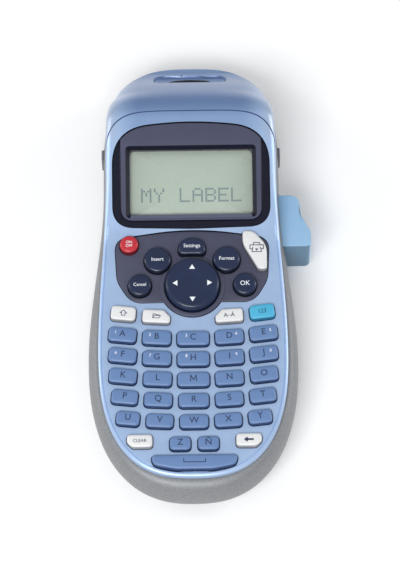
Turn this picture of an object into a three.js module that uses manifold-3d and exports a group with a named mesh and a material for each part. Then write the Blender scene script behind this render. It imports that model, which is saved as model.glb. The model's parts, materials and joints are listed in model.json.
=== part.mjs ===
// A handheld label maker, as separate pieces. Millimetres, +Z up, +X to the right as the keys are
// read, +Y towards the head, where the tape comes out. It lies on its back on the plane Z = 0.
import * as THREE from "three";
import { mergeVertices } from "three/addons/utils/BufferGeometryUtils.js";
import Module from "manifold-3d";

const wasm = await Module();
wasm.setup();

// ---- Driving dimensions -------------------------------------------------------------------------

const TAIL_END = -102; // how far the casing reaches behind the middle
const HEAD_END = 105.4; // and ahead of it
const GRIP_HALF = 45.5; // half the casing's greatest width
const NECK_HALF = 38.9; // half its width at the head

// The widest outline, the one where the two casings meet and the edge of the flat back.
const BELT = {
  tail: TAIL_END, head: HEAD_END, grip: GRIP_HALF, neck: NECK_HALF, tailPower: 2.4, headPower: 3,
};
const RIM = {
  tail: TAIL_END + 6.6, head: HEAD_END - 0.6, grip: GRIP_HALF - 4.6, neck: NECK_HALF - 1.5,
  tailPower: 2.6, headPower: 3,
};
const SOLE = {
  tail: TAIL_END + 15, head: HEAD_END - 6.4, grip: GRIP_HALF - 13.5, neck: NECK_HALF - 9.4,
  tailPower: 2.4, headPower: 3,
};
const TAIL_START = -37; // where the rounded tail begins
const GRIP_END = -38; // where the grip starts to narrow
const NECK_START = 40; // where it has its head width
const HEAD_START = 50; // where the rounded head begins
const SPINE = [-45, 60]; // ends of the line that the outlines shrink towards

const WALL = 2.2; // casing wall
const PART_GAP = 0.3; // between pieces that meet face to face
const CASING_GAP = 0.3; // between the two casings along the rim
const DOOR_GAP = 0.4; // around both doors
const DOOR_SINK = 0.4; // how far the doors sit inside the back

// Three tilted planes, each through a point on the middle line: the keys', through the navigation
// pad's centre; the display's, through its centre; the head's back, from where it lifts off the table.
const KEY_FACE = { y: -9.95, z: 35.17, slope: 0.077 };
const DISPLAY_FACE = { y: 39.6, z: 44.7, slope: 0.292 };
const HEAD_BACK = { y: 26, z: 0, slope: 0.22 };

// Heights along the middle, as [y, z, slope]: the front, the rim, the widest level and the back.
const FRONT_LINE = [
  [-110, 27.46, 0.077], [10, 36.7, 0.077], [24, 40.14, 0.292], [63.5, 51.68, 0.292],
  [67.5, 52.35, -0.2], [80.3, 46, -0.78], [86, 41.2, -0.93], [95, 31.4, -1.18], [106, 18.2, -1.2],
];
const RIM_LINE = [
  [-110, 24.9, 0.03], [-35, 28.6, 0.05], [0, 30, 0.02],
  [40, 29.8, -0.06], [70, 26.6, -0.14], [106, 21.4, -0.14],
];
const BELT_LINE = [
  [-110, 15.4, 0.01], [-35, 17.5, 0.04], [20, 19.5, 0.03], [60, 21, 0], [106, 19.4, -0.05],
];
const BACK_LINE = [[-110, 0, 0], [18, 0, 0], [34, 1.76, HEAD_BACK.slope], [106, 17.6, HEAD_BACK.slope]];
// How square the front's edges are.
const CROWN = [[-110, 12, 0], [30, 14, 0], [60, 14, 0], [84, 3.4, 0], [106, 3, 0]];

const KEY_GAP = 0.35; // around each key
const KEY_FLANGE = { out: 0.75, top: -2.6, bottom: -3.5 }; // the skirt that keeps a key in
const NARROW_FLANGE = 0.4; // where a key is close to its neighbour or to the rim
const BOARD = { top: -5.6, thick: 1.6, halfWidth: 33, tail: -80.8, head: 25.2, corner: 22 };

// Each row's y at its middle key, its key centres and widths outwards from there, and its height.
const LETTER_ROWS = [
  { y: -34.3, columns: [0, 15.6, 30.3], widths: [14, 12.5, 12.2], height: 7 },
  { y: -43.6, columns: [0, 15.6, 30.3], widths: [14, 12.5, 12.2], height: 7 },
  { y: -52.9, columns: [0, 15.4, 30.2], widths: [13.9, 12.4, 12.1], height: 7 },
  { y: -62.3, columns: [0, 15.2, 29.5], widths: [13.1, 12.2, 11.5], height: 6.8 },
  { y: -71.7, columns: [0, 14.6, 28.15], widths: [12.4, 11.8, 10.2], height: 6.6 },
];
const ROW_BOW = 0.00218; // each row of keys bows towards the tail: y rises by this times x squared
const KEY_CORNER = 2.2;
const KEY_CORNER_STEPS = 2;
const LETTER_HEIGHT = 2.2; // how far the letter keys stand out of the front

const NAV = {
  y: -9.95, radius: 11.75, height: 4.4, flange: 12.4, flangeTop: -3.4, flangeBottom: -4.2, hole: 12.15,
};
const NAV_COLLAR = { radius: 14.2, height: 0.6 };
const NAV_PIVOT = { radius: 2.6, top: -4.5, bottom: -5.3 };

const BEZEL = {
  halfWidth: 34.2, top: 23, bottom: -23, topCorner: 18, bottomCorner: 9.5, arch: 0.9, thick: 3, sink: 0.3,
};
const SCREEN = { halfWidth: 28.6, top: 13, bottom: -19.1, bevel: 1.6, depth: 1.5, corner: 2 };
const LENS_THICK = 1.2;
const LCD = { halfWidth: 30.5, top: 15, bottom: -21, thick: 2.8 };
const PANEL_THICK = 2.2;
const PANEL_FOOT = -17.2; // where its lower edge meets the collar

const TAPE = { half: 6.4, middle: 12.4 }; // half the tape slot and the tape's middle above the head's back
const CASSETTE = { halfWidth: 26, tail: -4, head: 50, bottom: 3.5, top: 20.5, corner: 9 };
const HEAD_BLOCK = { left: -6.4, right: -0.3, halfLength: 3.6 };
const PLATEN = { radius: 3.6, shaft: 1.5, bottom: 5, top: 19, toHead: 0.6, toCassette: 0.4 };
const platenX = HEAD_BLOCK.right + PLATEN.toHead + PLATEN.radius;
const platenY = CASSETTE.head + PLATEN.toCassette + PLATEN.radius; // in the head's plane
const GEARS = { module: 0.75, platenTeeth: 16, pinionTeeth: 8, bottom: 23.3, top: 26, backlash: 0.12 };
const BAY = { gap: 0.7, wall: 1.4, floorTop: 22.7, floorHead: platenY + 6.6 };
const MOTOR = { radius: 6.4, bottom: 26.6, top: 34 };

// The dish around the tape slot: a point on its plane, its size and the slot behind it.
const EXIT = {
  y: 96.6, z: 30.3, halfWidth: 16.5, halfLength: 7.4, depth: 2.5, slope: -1.19, throatHalfWidth: 10.6,
  backing: 1.6, below: 2.5,
};

const BUTTON = { tail: 12, head: 37.3, bottom: 7, top: 28, reach: 52.4, gap: 0.4 };
const BUTTON_ARM = { thick: 1.6, width: 4, bottom: 23.2 };
const FLANGE = { thick: 2.3, clearance: 1.2, out: 1.6 }; // the plate that keeps the button in
const BLADE = { along: platenY + 9.2, thick: 0.8, edge: 1.2, top: 19, bottom: 5.4 };

const CELL = { radius: 7.15, length: 50.5, pitch: 14.7, tail: -75, strap: 0.8, lift: 0.55 };
const cellHeight = WALL + CELL.lift + CELL.radius;
const BATTERY_BAY = { gap: 0.6, wall: 1.4 };
const BATTERY_DOOR = {
  halfWidth: 29.5, tail: -81, head: -18.5, corner: 9, thick: 1.8, cutWidth: 11.5, cutLength: 18,
};
const CASSETTE_DOOR = { hinge: 21, thick: 1.8, earAt: 60, earHalf: 3.2, earOut: 0.9, earTop: 24.4 };

// ---- Small tools --------------------------------------------------------------------------------

// A smooth curve through knots of [position, value, slope].
function along(knots) {
  return (at) => {
    const last = knots.length - 2;
    let i = 0;
    while (i < last && at > knots[i + 1][0]) i += 1;
    const [a, va, sa] = knots[i];
    const [b, vb, sb] = knots[i + 1];
    const span = b - a;
    const t = Math.min(1, Math.max(0, (at - a) / span));
    const s = t * t * (3 - 2 * t);
    return va * (1 - s) + vb * s + span * t * (1 - t) * (sa * (1 - t) - sb * t);
  };
}

const smooth = (t) => t * t * (3 - 2 * t);
const mix = (a, b, t) => a + (b - a) * t;

const frontLine = along(FRONT_LINE);
const rimLine = along(RIM_LINE);
const beltLine = along(BELT_LINE);
const backLine = along(BACK_LINE);
const crown = along(CROWN);
const frontSlope = (y) => (frontLine(y + 0.2) - frontLine(y - 0.2)) / 0.4;

// Half the width of an outline at y, drawn in by inset.
function halfWidth(outline, y, inset) {
  const grip = outline.grip - inset;
  const neck = outline.neck - inset;
  if (y < TAIL_START) {
    const t = Math.min(1, (TAIL_START - y) / (TAIL_START - (outline.tail + inset)));
    return grip * Math.pow(1 - Math.pow(t, outline.tailPower), 1 / outline.tailPower);
  }
  if (y > HEAD_START) {
    const t = Math.min(1, (y - HEAD_START) / (outline.head - inset - HEAD_START));
    return neck * Math.pow(1 - Math.pow(t, outline.headPower), 1 / outline.headPower);
  }
  const t = Math.min(1, Math.max(0, (y - GRIP_END) / (NECK_START - GRIP_END)));
  return mix(grip, neck, smooth(t));
}

const SIDE_STEPS = 22; // points along each side of a ring

// The outline as a closed ring of [x, y], anticlockwise from the tail's end.
function outlineRing(outline, inset) {
  const low = outline.tail + inset;
  const high = outline.head - inset;
  const side = [];
  for (let i = 0; i <= SIDE_STEPS; i += 1) {
    const y = (low + high) / 2 - ((high - low) / 2) * Math.cos((Math.PI * i) / SIDE_STEPS);
    const ends = i === 0 || i === SIDE_STEPS;
    side.push([ends ? 0 : halfWidth(outline, y, inset), y]);
  }
  const back = side.slice(1, -1).reverse().map(([x, y]) => [-x, y]);
  return [...side, ...back];
}

const onSpine = (y) => Math.min(SPINE[1], Math.max(SPINE[0], y));

// A solid from rings of the same length, lowest first. A ring may shrink to a line.
function loft(rings) {
  const count = rings[0].length;
  const geometry = new THREE.BufferGeometry();
  geometry.setAttribute("position", new THREE.Float32BufferAttribute(rings.flat(2), 3));
  const faces = [];
  for (let k = 0; k < rings.length - 1; k += 1) {
    for (let i = 0; i < count; i += 1) {
      const j = (i + 1) % count;
      const [a, b, c, d] = [k * count + i, k * count + j, (k + 1) * count + j, (k + 1) * count + i];
      faces.push(a, b, c, a, c, d);
    }
  }
  geometry.setIndex(faces);
  return solid(geometry);
}

// A closed three.js geometry as a solid for cutting and joining.
function solid(geometry) {
  const bare = geometry.clone();
  for (const name of Object.keys(bare.attributes)) {
    if (name !== "position") bare.deleteAttribute(name);
  }
  const merged = mergeVertices(bare, 1e-4);
  const index = merged.index.array;
  const kept = [];
  for (let i = 0; i < index.length; i += 3) {
    const [a, b, c] = [index[i], index[i + 1], index[i + 2]];
    if (a !== b && b !== c && c !== a) kept.push(a, b, c);
  }
  const mesh = new wasm.Mesh({
    numProp: 3,
    vertProperties: new Float32Array(merged.attributes.position.array),
    triVerts: new Uint32Array(kept),
  });
  return new wasm.Manifold(mesh);
}

function geometryOf(made) {
  const mesh = made.getMesh();
  const geometry = new THREE.BufferGeometry();
  geometry.setAttribute("position", new THREE.BufferAttribute(new Float32Array(mesh.vertProperties), 3));
  geometry.setIndex(new THREE.BufferAttribute(new Uint32Array(mesh.triVerts), 1));
  geometry.computeVertexNormals();
  return geometry;
}

// Corners of [x, y, radius], anticlockwise, joined by arcs of the given number of steps.
function rounded(corners, steps = 3) {
  const points = [];
  corners.forEach(([x, y, radius = 0], i) => {
    const here = new THREE.Vector2(x, y);
    const before = corners[(i + corners.length - 1) % corners.length];
    const after = corners[(i + 1) % corners.length];
    const back = new THREE.Vector2(before[0], before[1]).sub(here);
    const on = new THREE.Vector2(after[0], after[1]).sub(here);
    const half = Math.acos(back.dot(on) / (back.length() * on.length())) / 2;
    if (radius === 0) {
      points.push(here);
      return;
    }
    const room = 0.49 * Math.min(back.length(), on.length());
    const cut = Math.min(room, radius / Math.tan(half));
    const start = here.clone().add(back.setLength(cut));
    const end = here.clone().add(on.setLength(cut));
    const curve = new THREE.QuadraticBezierCurve(start, here, end);
    points.push(...curve.getPoints(steps));
  });
  return points;
}

const circle = (radius, steps, x = 0, y = 0) => Array.from({ length: steps }, (_, i) => {
  const turn = (2 * Math.PI * i) / steps;
  return new THREE.Vector2(x + radius * Math.cos(turn), y + radius * Math.sin(turn));
});

function box2(x0, y0, x1, y1, radius = 0, steps = 3) {
  return rounded([[x1, y1, radius], [x0, y1, radius], [x0, y0, radius], [x1, y0, radius]], steps);
}

// An outline moved outwards by gap, or inwards if gap is negative.
function grown(points, gap) {
  const count = points.length;
  return points.map((here, i) => {
    const before = points[(i + count - 1) % count];
    const after = points[(i + 1) % count];
    const a = here.clone().sub(before).normalize();
    const b = after.clone().sub(here).normalize();
    const out = new THREE.Vector2(a.y + b.y, -a.x - b.x).normalize();
    const stretch = Math.max(0.5, out.x * a.y - out.y * a.x);
    return here.clone().addScaledVector(out, gap / stretch);
  });
}

// An outline pulled from bottom to top.
function prism(points, bottom, top) {
  const settings = { depth: top - bottom, bevelEnabled: false };
  const geometry = new THREE.ExtrudeGeometry(new THREE.Shape(points), settings);
  geometry.translate(0, 0, bottom);
  return solid(geometry);
}

// The same with its upper edge cut back.
function bevelled(points, bottom, top, bevel) {
  const levels = [[bottom, 0], [top - bevel, 0], [top, -bevel]];
  const rings = levels.map(([z, gap]) => grown(points, gap).map((p) => [p.x, p.y, z]));
  const middle = points.reduce((sum, p) => sum.add(p), new THREE.Vector2()).divideScalar(points.length);
  const cap = (z) => points.map(() => [middle.x, middle.y, z]);
  return loft([cap(bottom), ...rings, cap(top)]);
}

// A side view outline, points of [y, z], pulled across from x0 to x1.
function sidePrism(points, x0, x1) {
  const shape = new THREE.Shape(points.map(([y, z]) => new THREE.Vector2(y, z)));
  const geometry = new THREE.ExtrudeGeometry(shape, { depth: x1 - x0, bevelEnabled: false });
  geometry.translate(0, 0, x0);
  geometry.applyMatrix4(new THREE.Matrix4().makeBasis(
    new THREE.Vector3(0, 1, 0), new THREE.Vector3(0, 0, 1), new THREE.Vector3(1, 0, 0)));
  return solid(geometry);
}

const block = (x0, x1, y0, y1, z0, z1) => prism(box2(x0, y0, x1, y1), z0, z1);
const all = (pieces) => pieces.reduce((a, b) => a.add(b));

// ---- The frames that pieces are drawn in --------------------------------------------------------

function frameOn(face) {
  const group = new THREE.Group();
  group.position.set(0, face.y, face.z);
  group.rotation.x = Math.atan(face.slope);
  group.updateMatrixWorld(true);
  return group;
}

const body = new THREE.Group();
const keyFrame = frameOn(KEY_FACE);
const displayFrame = frameOn(DISPLAY_FACE);
const headFrame = frameOn(HEAD_BACK);
body.add(keyFrame, displayFrame, headFrame);

// A solid drawn in a frame, taken to the body's frame.
const placed = (made, frame) => made.transform([...frame.matrixWorld.elements]);

function plastic(color, roughness = 0.45, metalness = 0) {
  return new THREE.MeshStandardMaterial({ color, roughness, metalness });
}

const FINISH = {
  blueShell: plastic(0x8fb0dd, 0.35, 0.2),
  greyShell: plastic(0x8f9295, 0.4, 0.35),
  letterKey: plastic(0x6f93cc, 0.6),
  whiteKey: plastic(0xe8e8e8, 0.5),
  tealKey: plastic(0x4fb5d8, 0.5),
  redKey: plastic(0xc8202c, 0.4),
  navyKey: plastic(0x1c2942, 0.5),
  panel: plastic(0x43465a, 0.4),
  bezel: plastic(0x2b2f45, 0.25),
  lens: new THREE.MeshStandardMaterial({
    color: 0xdfe8e0, roughness: 0.05, transparent: true, opacity: 0.3,
  }),
  lcd: plastic(0xaebdae, 0.3),
  board: plastic(0x1f6b3a, 0.5),
  steel: plastic(0xb4b7ba, 0.3, 1),
  rubber: plastic(0x1d1d1f, 0.9),
  button: plastic(0x9cc4e0, 0.4),
  cassette: plastic(0xd9d9d4, 0.5),
  cells: plastic(0x2d2f33, 0.35, 0.4),
  gear: plastic(0xe4e0d2, 0.5),
};

function add(name, made, finish, frame = body) {
  const mesh = new THREE.Mesh(geometryOf(made), finish);
  mesh.name = name;
  frame.add(mesh);
  return made;
}

// ---- The casings --------------------------------------------------------------------------------

const at = (ring, z) => ring.map(([x, y]) => [x, y, z(x, y)]);
const spineRing = (ring, z) => ring.map(([, y]) => [0, onSpine(y), z(onSpine(y))]);

// The front block: its rim below, its crowned face above. deeper lowers the underside.
function frontBlock(inset, deeper) {
  const rim = outlineRing(RIM, inset);
  const low = (y) => rimLine(y) + CASING_GAP / 2 - deeper;
  const face = (y) => frontLine(y) - inset * Math.hypot(1, frontSlope(y));
  const rings = [spineRing(rim, low), at(rim, (x, y) => low(y))];
  for (const reach of [0.985, 0.95, 0.88, 0.7, 0.35]) {
    rings.push(rim.map(([x, y]) => {
      const spineY = onSpine(y);
      const qx = x * reach;
      const qy = mix(spineY, y, reach);
      const power = crown(qy);
      const rise = Math.pow(1 - Math.pow(reach, power), 1 / power);
      return [qx, qy, mix(low(y), Math.max(face(qy), low(y)), rise)];
    }));
  }
  rings.push(spineRing(rim, face));
  return loft(rings);
}

// The rear block: the flat back, round bilges, the widest level and a shoulder in to the rim. taller
// raises its top.
function rearBlock(inset, taller) {
  const rim = outlineRing(RIM, inset);
  const belt = outlineRing(BELT, inset);
  const sole = outlineRing(SOLE, inset * 0.5);
  const top = (y) => rimLine(y) - CASING_GAP / 2 + taller;
  const bottom = (y) => backLine(y) + inset;
  const rings = [spineRing(sole, bottom), at(sole, (x, y) => bottom(y))];
  for (const turn of [0.72, 0.45, 0.2, 0]) {
    const a = (turn * Math.PI) / 2;
    rings.push(belt.map(([x, y], i) => [
      mix(sole[i][0], x, Math.cos(a)),
      mix(sole[i][1], y, Math.cos(a)),
      mix(beltLine(y), bottom(sole[i][1]), Math.sin(a)),
    ]));
  }
  for (const turn of [0.33, 0.66]) {
    const a = (turn * Math.PI) / 2;
    rings.push(belt.map(([x, y], i) => [
      mix(rim[i][0], x, Math.cos(a)),
      mix(rim[i][1], y, Math.cos(a)),
      mix(beltLine(y), rimLine(rim[i][1]), Math.sin(a)) - (CASING_GAP / 2) * turn,
    ]));
  }
  rings.push(at(rim, (x, y) => top(y)), spineRing(rim, top));
  return loft(rings);
}

// ---- Outlines of what shows on the front --------------------------------------------------------

// From the key plane's origin: the broad control panel with the round collar of the navigation pad
// below it.
function panelOutline() {
  const collarFrom = Math.asin((PANEL_FOOT - NAV.y) / NAV_COLLAR.radius);
  const side = [[26.5, PANEL_FOOT - 0.2, 9], [32.6, -7.2, 12], [33.6, 12.2, 6.5]];
  const otherSide = side.slice().reverse().map(([x, y, r]) => [-x, y, r]);
  const collarX = NAV_COLLAR.radius * Math.cos(collarFrom);
  const corners = [
    [collarX, PANEL_FOOT], ...side, [0, 16.8, 150], ...otherSide, [-collarX, PANEL_FOOT],
  ];
  const upper = rounded(corners.map(([x, y, r]) => [x, y - KEY_FACE.y, r]), 4);
  const steps = 12;
  const collar = [];
  for (let i = 1; i < steps; i += 1) {
    const turn = mix(Math.PI - collarFrom, 2 * Math.PI + collarFrom, i / steps);
    const x = NAV_COLLAR.radius * Math.cos(turn);
    const y = NAV.y - KEY_FACE.y + NAV_COLLAR.radius * Math.sin(turn);
    collar.push(new THREE.Vector2(x, y));
  }
  return [...upper, ...collar];
}

// From the display plane's origin: arched at the head, with wide corners there.
function bezelOutline() {
  const { halfWidth: w, top, bottom, topCorner, bottomCorner, arch } = BEZEL;
  return rounded([
    [0, bottom - arch, 150],
    [w, bottom, bottomCorner],
    [w, top - 2.4, topCorner],
    [0, top + arch, 150],
    [-w, top - 2.4, topCorner],
    [-w, bottom, bottomCorner],
  ], 5);
}

function screenOutline(grow) {
  const w = SCREEN.halfWidth + grow;
  return box2(-w, SCREEN.bottom - grow, w, SCREEN.top + grow, SCREEN.corner, 2);
}

// ---- The keys -----------------------------------------------------------------------------------

const rowY = (y, x) => y + ROW_BOW * x * x;
const rowTurn = (x) => Math.atan(1.7 * ROW_BOW * x);

function letterKeys() {
  const names = "abcdefghijklmnopqrstuvwxy";
  const keys = [];
  LETTER_ROWS.forEach((row, r) => {
    for (let c = -2; c <= 2; c += 1) {
      const x = Math.sign(c) * row.columns[Math.abs(c)];
      const w = row.widths[Math.abs(c)] / 2;
      const h = row.height / 2;
      keys.push({
        name: `key_${names[r * 5 + c + 2]}`, x, y: rowY(row.y, x), turn: rowTurn(x), height: LETTER_HEIGHT,
        outline: box2(-w, -h, w, h, KEY_CORNER, KEY_CORNER_STEPS), finish: FINISH.letterKey,
      });
    }
  });
  return keys;
}

function otherKeys() {
  const round = (r) => circle(r, 16);
  const pad = (w, h) => box2(-w / 2, -h / 2, w / 2, h / 2, KEY_CORNER, KEY_CORNER_STEPS);
  const flip = (corners) => corners.slice().reverse().map(([x, y, r]) => [-x, y, r]);
  const soft = (corners) => rounded(corners, KEY_CORNER_STEPS);
  const slanted = [[6.1, -3.2, 1.8], [6.1, 0.2, 1.6], [3.2, 3.2, 2.4], [-6.1, 3.2, 1.8], [-6.1, -3.2, 1.8]];
  const clipped = [[5.5, 3, 1.8], [-5.5, 3, 1.8], [-5.5, -0.6, 2], [-3, -3, 2], [5.5, -3, 1.8]];
  const leaf = [
    [5.3, -9.2, 2.4], [5.4, 2.4, 9], [-0.4, 9.2, 5], [-5.2, 9.2, 1.6], [-5.2, 3, 9], [1.6, -9.2, 2.4],
  ];
  const dome = [[6.3, -4, 3.2], [5.6, 2.4, 4], [0, 4.6, 12], [-5.6, 2.4, 4], [-6.3, -4, 3.2], [0, -3.9, 20]];
  const bar = [
    [17.6, -1.6, 4], [18.7, 3.2, 2.6], [-18.7, 3.2, 2.6], [-17.6, -1.6, 4], [-8, -3.5, 20], [8, -3.5, 20],
  ];
  const close = { skirt: NARROW_FLANGE };
  const navy = { height: 3, finish: FINISH.navyKey };
  const white = { height: 2.4, finish: FINISH.whiteKey };
  const letter = { height: LETTER_HEIGHT, finish: FINISH.letterKey };
  const topRow = (side) => ({ x: side * 29.9, y: -22.6, turn: rowTurn(side * 29.9) });
  const nextRow = (side) => ({ x: side * 15.7, y: -24.2, turn: rowTurn(side * 15.7) });
  return [
    { name: "power_key", x: -27.3, y: 9.1, outline: round(4.1), height: 2.6, finish: FINISH.redKey, ...close },
    { name: "settings_key", x: 0, y: 7.7, outline: rounded(dome), ...navy, ...close },
    { name: "insert_key", x: -15, y: 1.65, outline: round(5.9), ...navy, ...close },
    { name: "format_key", x: 15, y: 1.65, outline: round(5.9), ...navy, ...close },
    { name: "print_key", x: 27.2, y: 5.7, outline: rounded(leaf), ...white, height: 2.6, ...close },
    { name: "cancel_key", x: -22.75, y: -9.85, outline: round(5.1), ...navy, height: 2.8, ...close },
    { name: "ok_key", x: 22.75, y: -9.85, outline: round(5.1), ...navy, height: 2.8, ...close },
    { name: "capitals_key", ...topRow(-1), outline: pad(10.9, 6.8), ...white },
    { name: "symbols_key", ...nextRow(-1), outline: soft(slanted), ...white },
    { name: "accents_key", ...nextRow(1), outline: soft(flip(slanted)), ...white },
    { name: "numbers_key", ...topRow(1), outline: pad(10.9, 6.8), ...white, finish: FINISH.tealKey },
    { name: "clear_key", x: -23.2, y: -80.2, outline: soft(clipped), ...white, ...close },
    { name: "key_z", x: -6, y: -81.4, outline: pad(9.1, 6.4), ...letter },
    { name: "key_n_tilde", x: 6, y: -81.4, outline: pad(9.1, 6.4), ...letter },
    { name: "backspace_key", x: 23.2, y: -80.2, outline: soft(flip(clipped)), ...white, ...close },
    { name: "space_key", x: 0, y: -89.5, outline: soft(bar), ...letter, ...close },
  ];
}

// A key's outline on the key plane, grown by gap. A key's y is measured level, so it is stretched to
// the slope.
function onKeyFace(key, gap) {
  const turn = key.turn ?? 0;
  const y = (key.y - KEY_FACE.y) * Math.hypot(1, KEY_FACE.slope);
  const middle = new THREE.Vector2(key.x, y);
  return grown(key.outline, gap).map((p) => p.clone().rotateAround(new THREE.Vector2(), turn).add(middle));
}

const keys = [...otherKeys(), ...letterKeys()];

const skirtOut = (key) => key.skirt ?? KEY_FLANGE.out;

for (const key of keys) {
  const cap = bevelled(onKeyFace(key, 0), KEY_FLANGE.bottom + 0.2, key.height, 0.5);
  const skirt = prism(onKeyFace(key, skirtOut(key)), KEY_FLANGE.bottom, KEY_FLANGE.top);
  add(key.name, cap.add(skirt), key.finish, keyFrame);
}

// ---- The navigation pad -------------------------------------------------------------------------

function navigationPad() {
  const cap = bevelled(circle(NAV.radius, 32), NAV.flangeBottom + 0.2, NAV.height, 1);
  const skirt = prism(circle(NAV.flange, 32), NAV.flangeBottom, NAV.flangeTop);
  return cap.add(skirt);
}

add("navigation_pad", navigationPad(), FINISH.navyKey, keyFrame);
const pivot = prism(circle(NAV_PIVOT.radius, 16), NAV_PIVOT.bottom, NAV_PIVOT.top);
add("navigation_pivot", pivot, FINISH.rubber, keyFrame);

// ---- The front casing, display and control panel ------------------------------------------------

// The dish's outline on its own plane, grown by gap.
function dishOutline(gap) {
  const { halfWidth: w, halfLength: l } = EXIT;
  return grown(rounded([[w, l, 5.5], [-w, l, 5.5], [-w, -l, 5.5], [w, -l, 5.5]], 4), gap);
}

// The wall behind the dish, kept inside the front casing's outer skin.
function dishBacking() {
  const { depth, backing } = EXIT;
  const wall = placed(prism(dishOutline(backing), -depth - backing, 0), frameOn(EXIT));
  return wall.intersect(frontBlock(PART_GAP, EXIT.below));
}

// The dish, cut square to the forehead, and the tape's slot behind it.
function exitCutter() {
  const { depth, throatHalfWidth } = EXIT;
  const dish = prism(dishOutline(0), -depth, 12);
  const throat = box2(-throatHalfWidth, -TAPE.half, throatHalfWidth, TAPE.half, 2, 2);
  const upright = new THREE.Matrix4().makeRotationX(-Math.PI / 2);
  const slot = prism(throat, 0, 25).transform([...upright.elements]).translate([0, 55, TAPE.middle]);
  return placed(dish, frameOn(EXIT)).add(placed(slot, headFrame));
}

const PANEL_TAIL = PANEL_FOOT - 1; // the control panel's keys lie ahead of this
const letterPlate = keys.filter((key) => key.y < PANEL_TAIL);
const panelKeys = keys.filter((key) => key.y >= PANEL_TAIL);

function frontShell() {
  const shell = frontBlock(0, 0).subtract(frontBlock(WALL, 3)).add(dishBacking());
  const display = placed(prism(grown(bezelOutline(), KEY_GAP), -6, 4), displayFrame);
  const panel = placed(prism(grown(panelOutline(), PART_GAP), -5, 3), keyFrame);
  const holes = letterPlate.map((key) => {
    const pocket = prism(onKeyFace(key, skirtOut(key) + PART_GAP), -6, KEY_FLANGE.top + PART_GAP);
    return placed(prism(onKeyFace(key, KEY_GAP), -6, 3).add(pocket), keyFrame);
  });
  const overEdge = panelKeys.map((key) => placed(prism(onKeyFace(key, KEY_GAP), -6, 3), keyFrame));
  return shell.subtract(all([display, panel, exitCutter(), ...holes, ...overEdge]));
}

add("front_shell", frontShell(), FINISH.blueShell);

function controlPanel() {
  const plate = prism(panelOutline(), -PANEL_THICK, 0);
  const collar = prism(circle(NAV_COLLAR.radius - 0.1, 32), -PANEL_THICK, NAV_COLLAR.height);
  const navHole = prism(circle(NAV.hole, 32), -4, 3);
  const holes = panelKeys.map((key) => prism(onKeyFace(key, KEY_GAP), -4, 3));
  return plate.add(collar).subtract(all([navHole, ...holes]));
}

add("control_panel", controlPanel(), FINISH.panel, keyFrame);

function displayBezel() {
  const top = -BEZEL.sink;
  const plate = bevelled(bezelOutline(), top - BEZEL.thick, top, 0.5);
  const floor = top - SCREEN.depth;
  const opening = prism(screenOutline(-SCREEN.bevel), top - BEZEL.thick - 1, top + 1);
  const slope = loft([
    screenOutline(-SCREEN.bevel).map(() => [0, 0, floor]),
    screenOutline(-SCREEN.bevel).map((p) => [p.x, p.y, floor]),
    screenOutline(0.01).map((p) => [p.x, p.y, top + 0.01]),
    screenOutline(0.01).map(() => [0, 0, top + 0.01]),
  ]);
  return plate.subtract(opening.add(slope));
}

add("display_bezel", displayBezel(), FINISH.bezel, displayFrame);

const lensTop = -BEZEL.sink - BEZEL.thick - PART_GAP;
const lensOutline = box2(-LCD.halfWidth, LCD.bottom, LCD.halfWidth, LCD.top, 1, 1);
add("display_lens", prism(lensOutline, lensTop - LENS_THICK, lensTop), FINISH.lens, displayFrame);

const lcdTop = lensTop - LENS_THICK - PART_GAP;
const lcdOutline = box2(-LCD.halfWidth, LCD.bottom, LCD.halfWidth, LCD.top);
add("lcd_panel", prism(lcdOutline, lcdTop - LCD.thick, lcdTop), FINISH.lcd, displayFrame);

// The board, with its chips on the underside: [x, y, width, length].
const CHIPS = [[-14, -40, 12, 12], [12, -30, 9, 14], [-16, 6, 16, 8], [14, -62, 10, 6]];
const CHIP_HEIGHT = 1.4;

function circuitBoard() {
  const { top, thick, halfWidth: w, tail, head, corner } = BOARD;
  const low = top - thick;
  const plate = prism(box2(-w, tail, w, head, corner, 4), low, top);
  const chips = CHIPS.map(([x, y, width, length]) => (
    block(x - width / 2, x + width / 2, y - length / 2, y + length / 2, low - CHIP_HEIGHT, low + 0.2)));
  return all([plate, ...chips]);
}

add("circuit_board", circuitBoard(), FINISH.board, keyFrame);

// ---- The rear casing and its two doors ----------------------------------------------------------

// Side view of what the cassette door takes out of the rear casing, grown by gap.
function cassetteDoorSide(gap) {
  const { hinge, earAt, earHalf, earTop } = CASSETTE_DOOR;
  const low = -4;
  const far = BELT.head + 4;
  const neck = BUTTON.head + 3;
  const headEdge = [[86, 7], [100, 2.4], [far, 1.6]].map(([y, up]) => [y, backLine(y) + up + gap]);
  return [
    [far, low], [hinge - gap, low], [hinge - gap, 2.8 + gap], [neck, backLine(neck) + 2.6 + gap],
    [earAt - earHalf - gap, earTop - 6], [earAt - earHalf - gap, earTop + gap],
    [earAt + earHalf + gap, earTop + gap], [earAt + earHalf + gap, earTop - 3.5],
    [earAt + earHalf + 5, 18.5 + gap], ...headEdge,
  ];
}

function batteryDoorOutline(grow) {
  const { halfWidth: w, tail, head, corner, cutWidth, cutLength } = BATTERY_DOOR;
  return grown(rounded([
    [w, head, 3], [-w, head, 3], [-w, tail + cutLength, corner],
    [-w + cutWidth, tail, corner], [w - cutWidth, tail, corner], [w, tail + cutLength, corner],
  ], 4), grow);
}

const cellsLeft = -1.5 * CELL.pitch;
const SPRING_ROOM = 1.6; // between the straps and the ends of the battery bay
const BAY_BOX = {
  halfWidth: 1.5 * CELL.pitch + CELL.radius + BATTERY_BAY.gap,
  tail: CELL.tail - CELL.strap - SPRING_ROOM,
  head: CELL.tail + CELL.length + CELL.strap + SPRING_ROOM,
  top: cellHeight + CELL.radius + BATTERY_BAY.gap,
};

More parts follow.
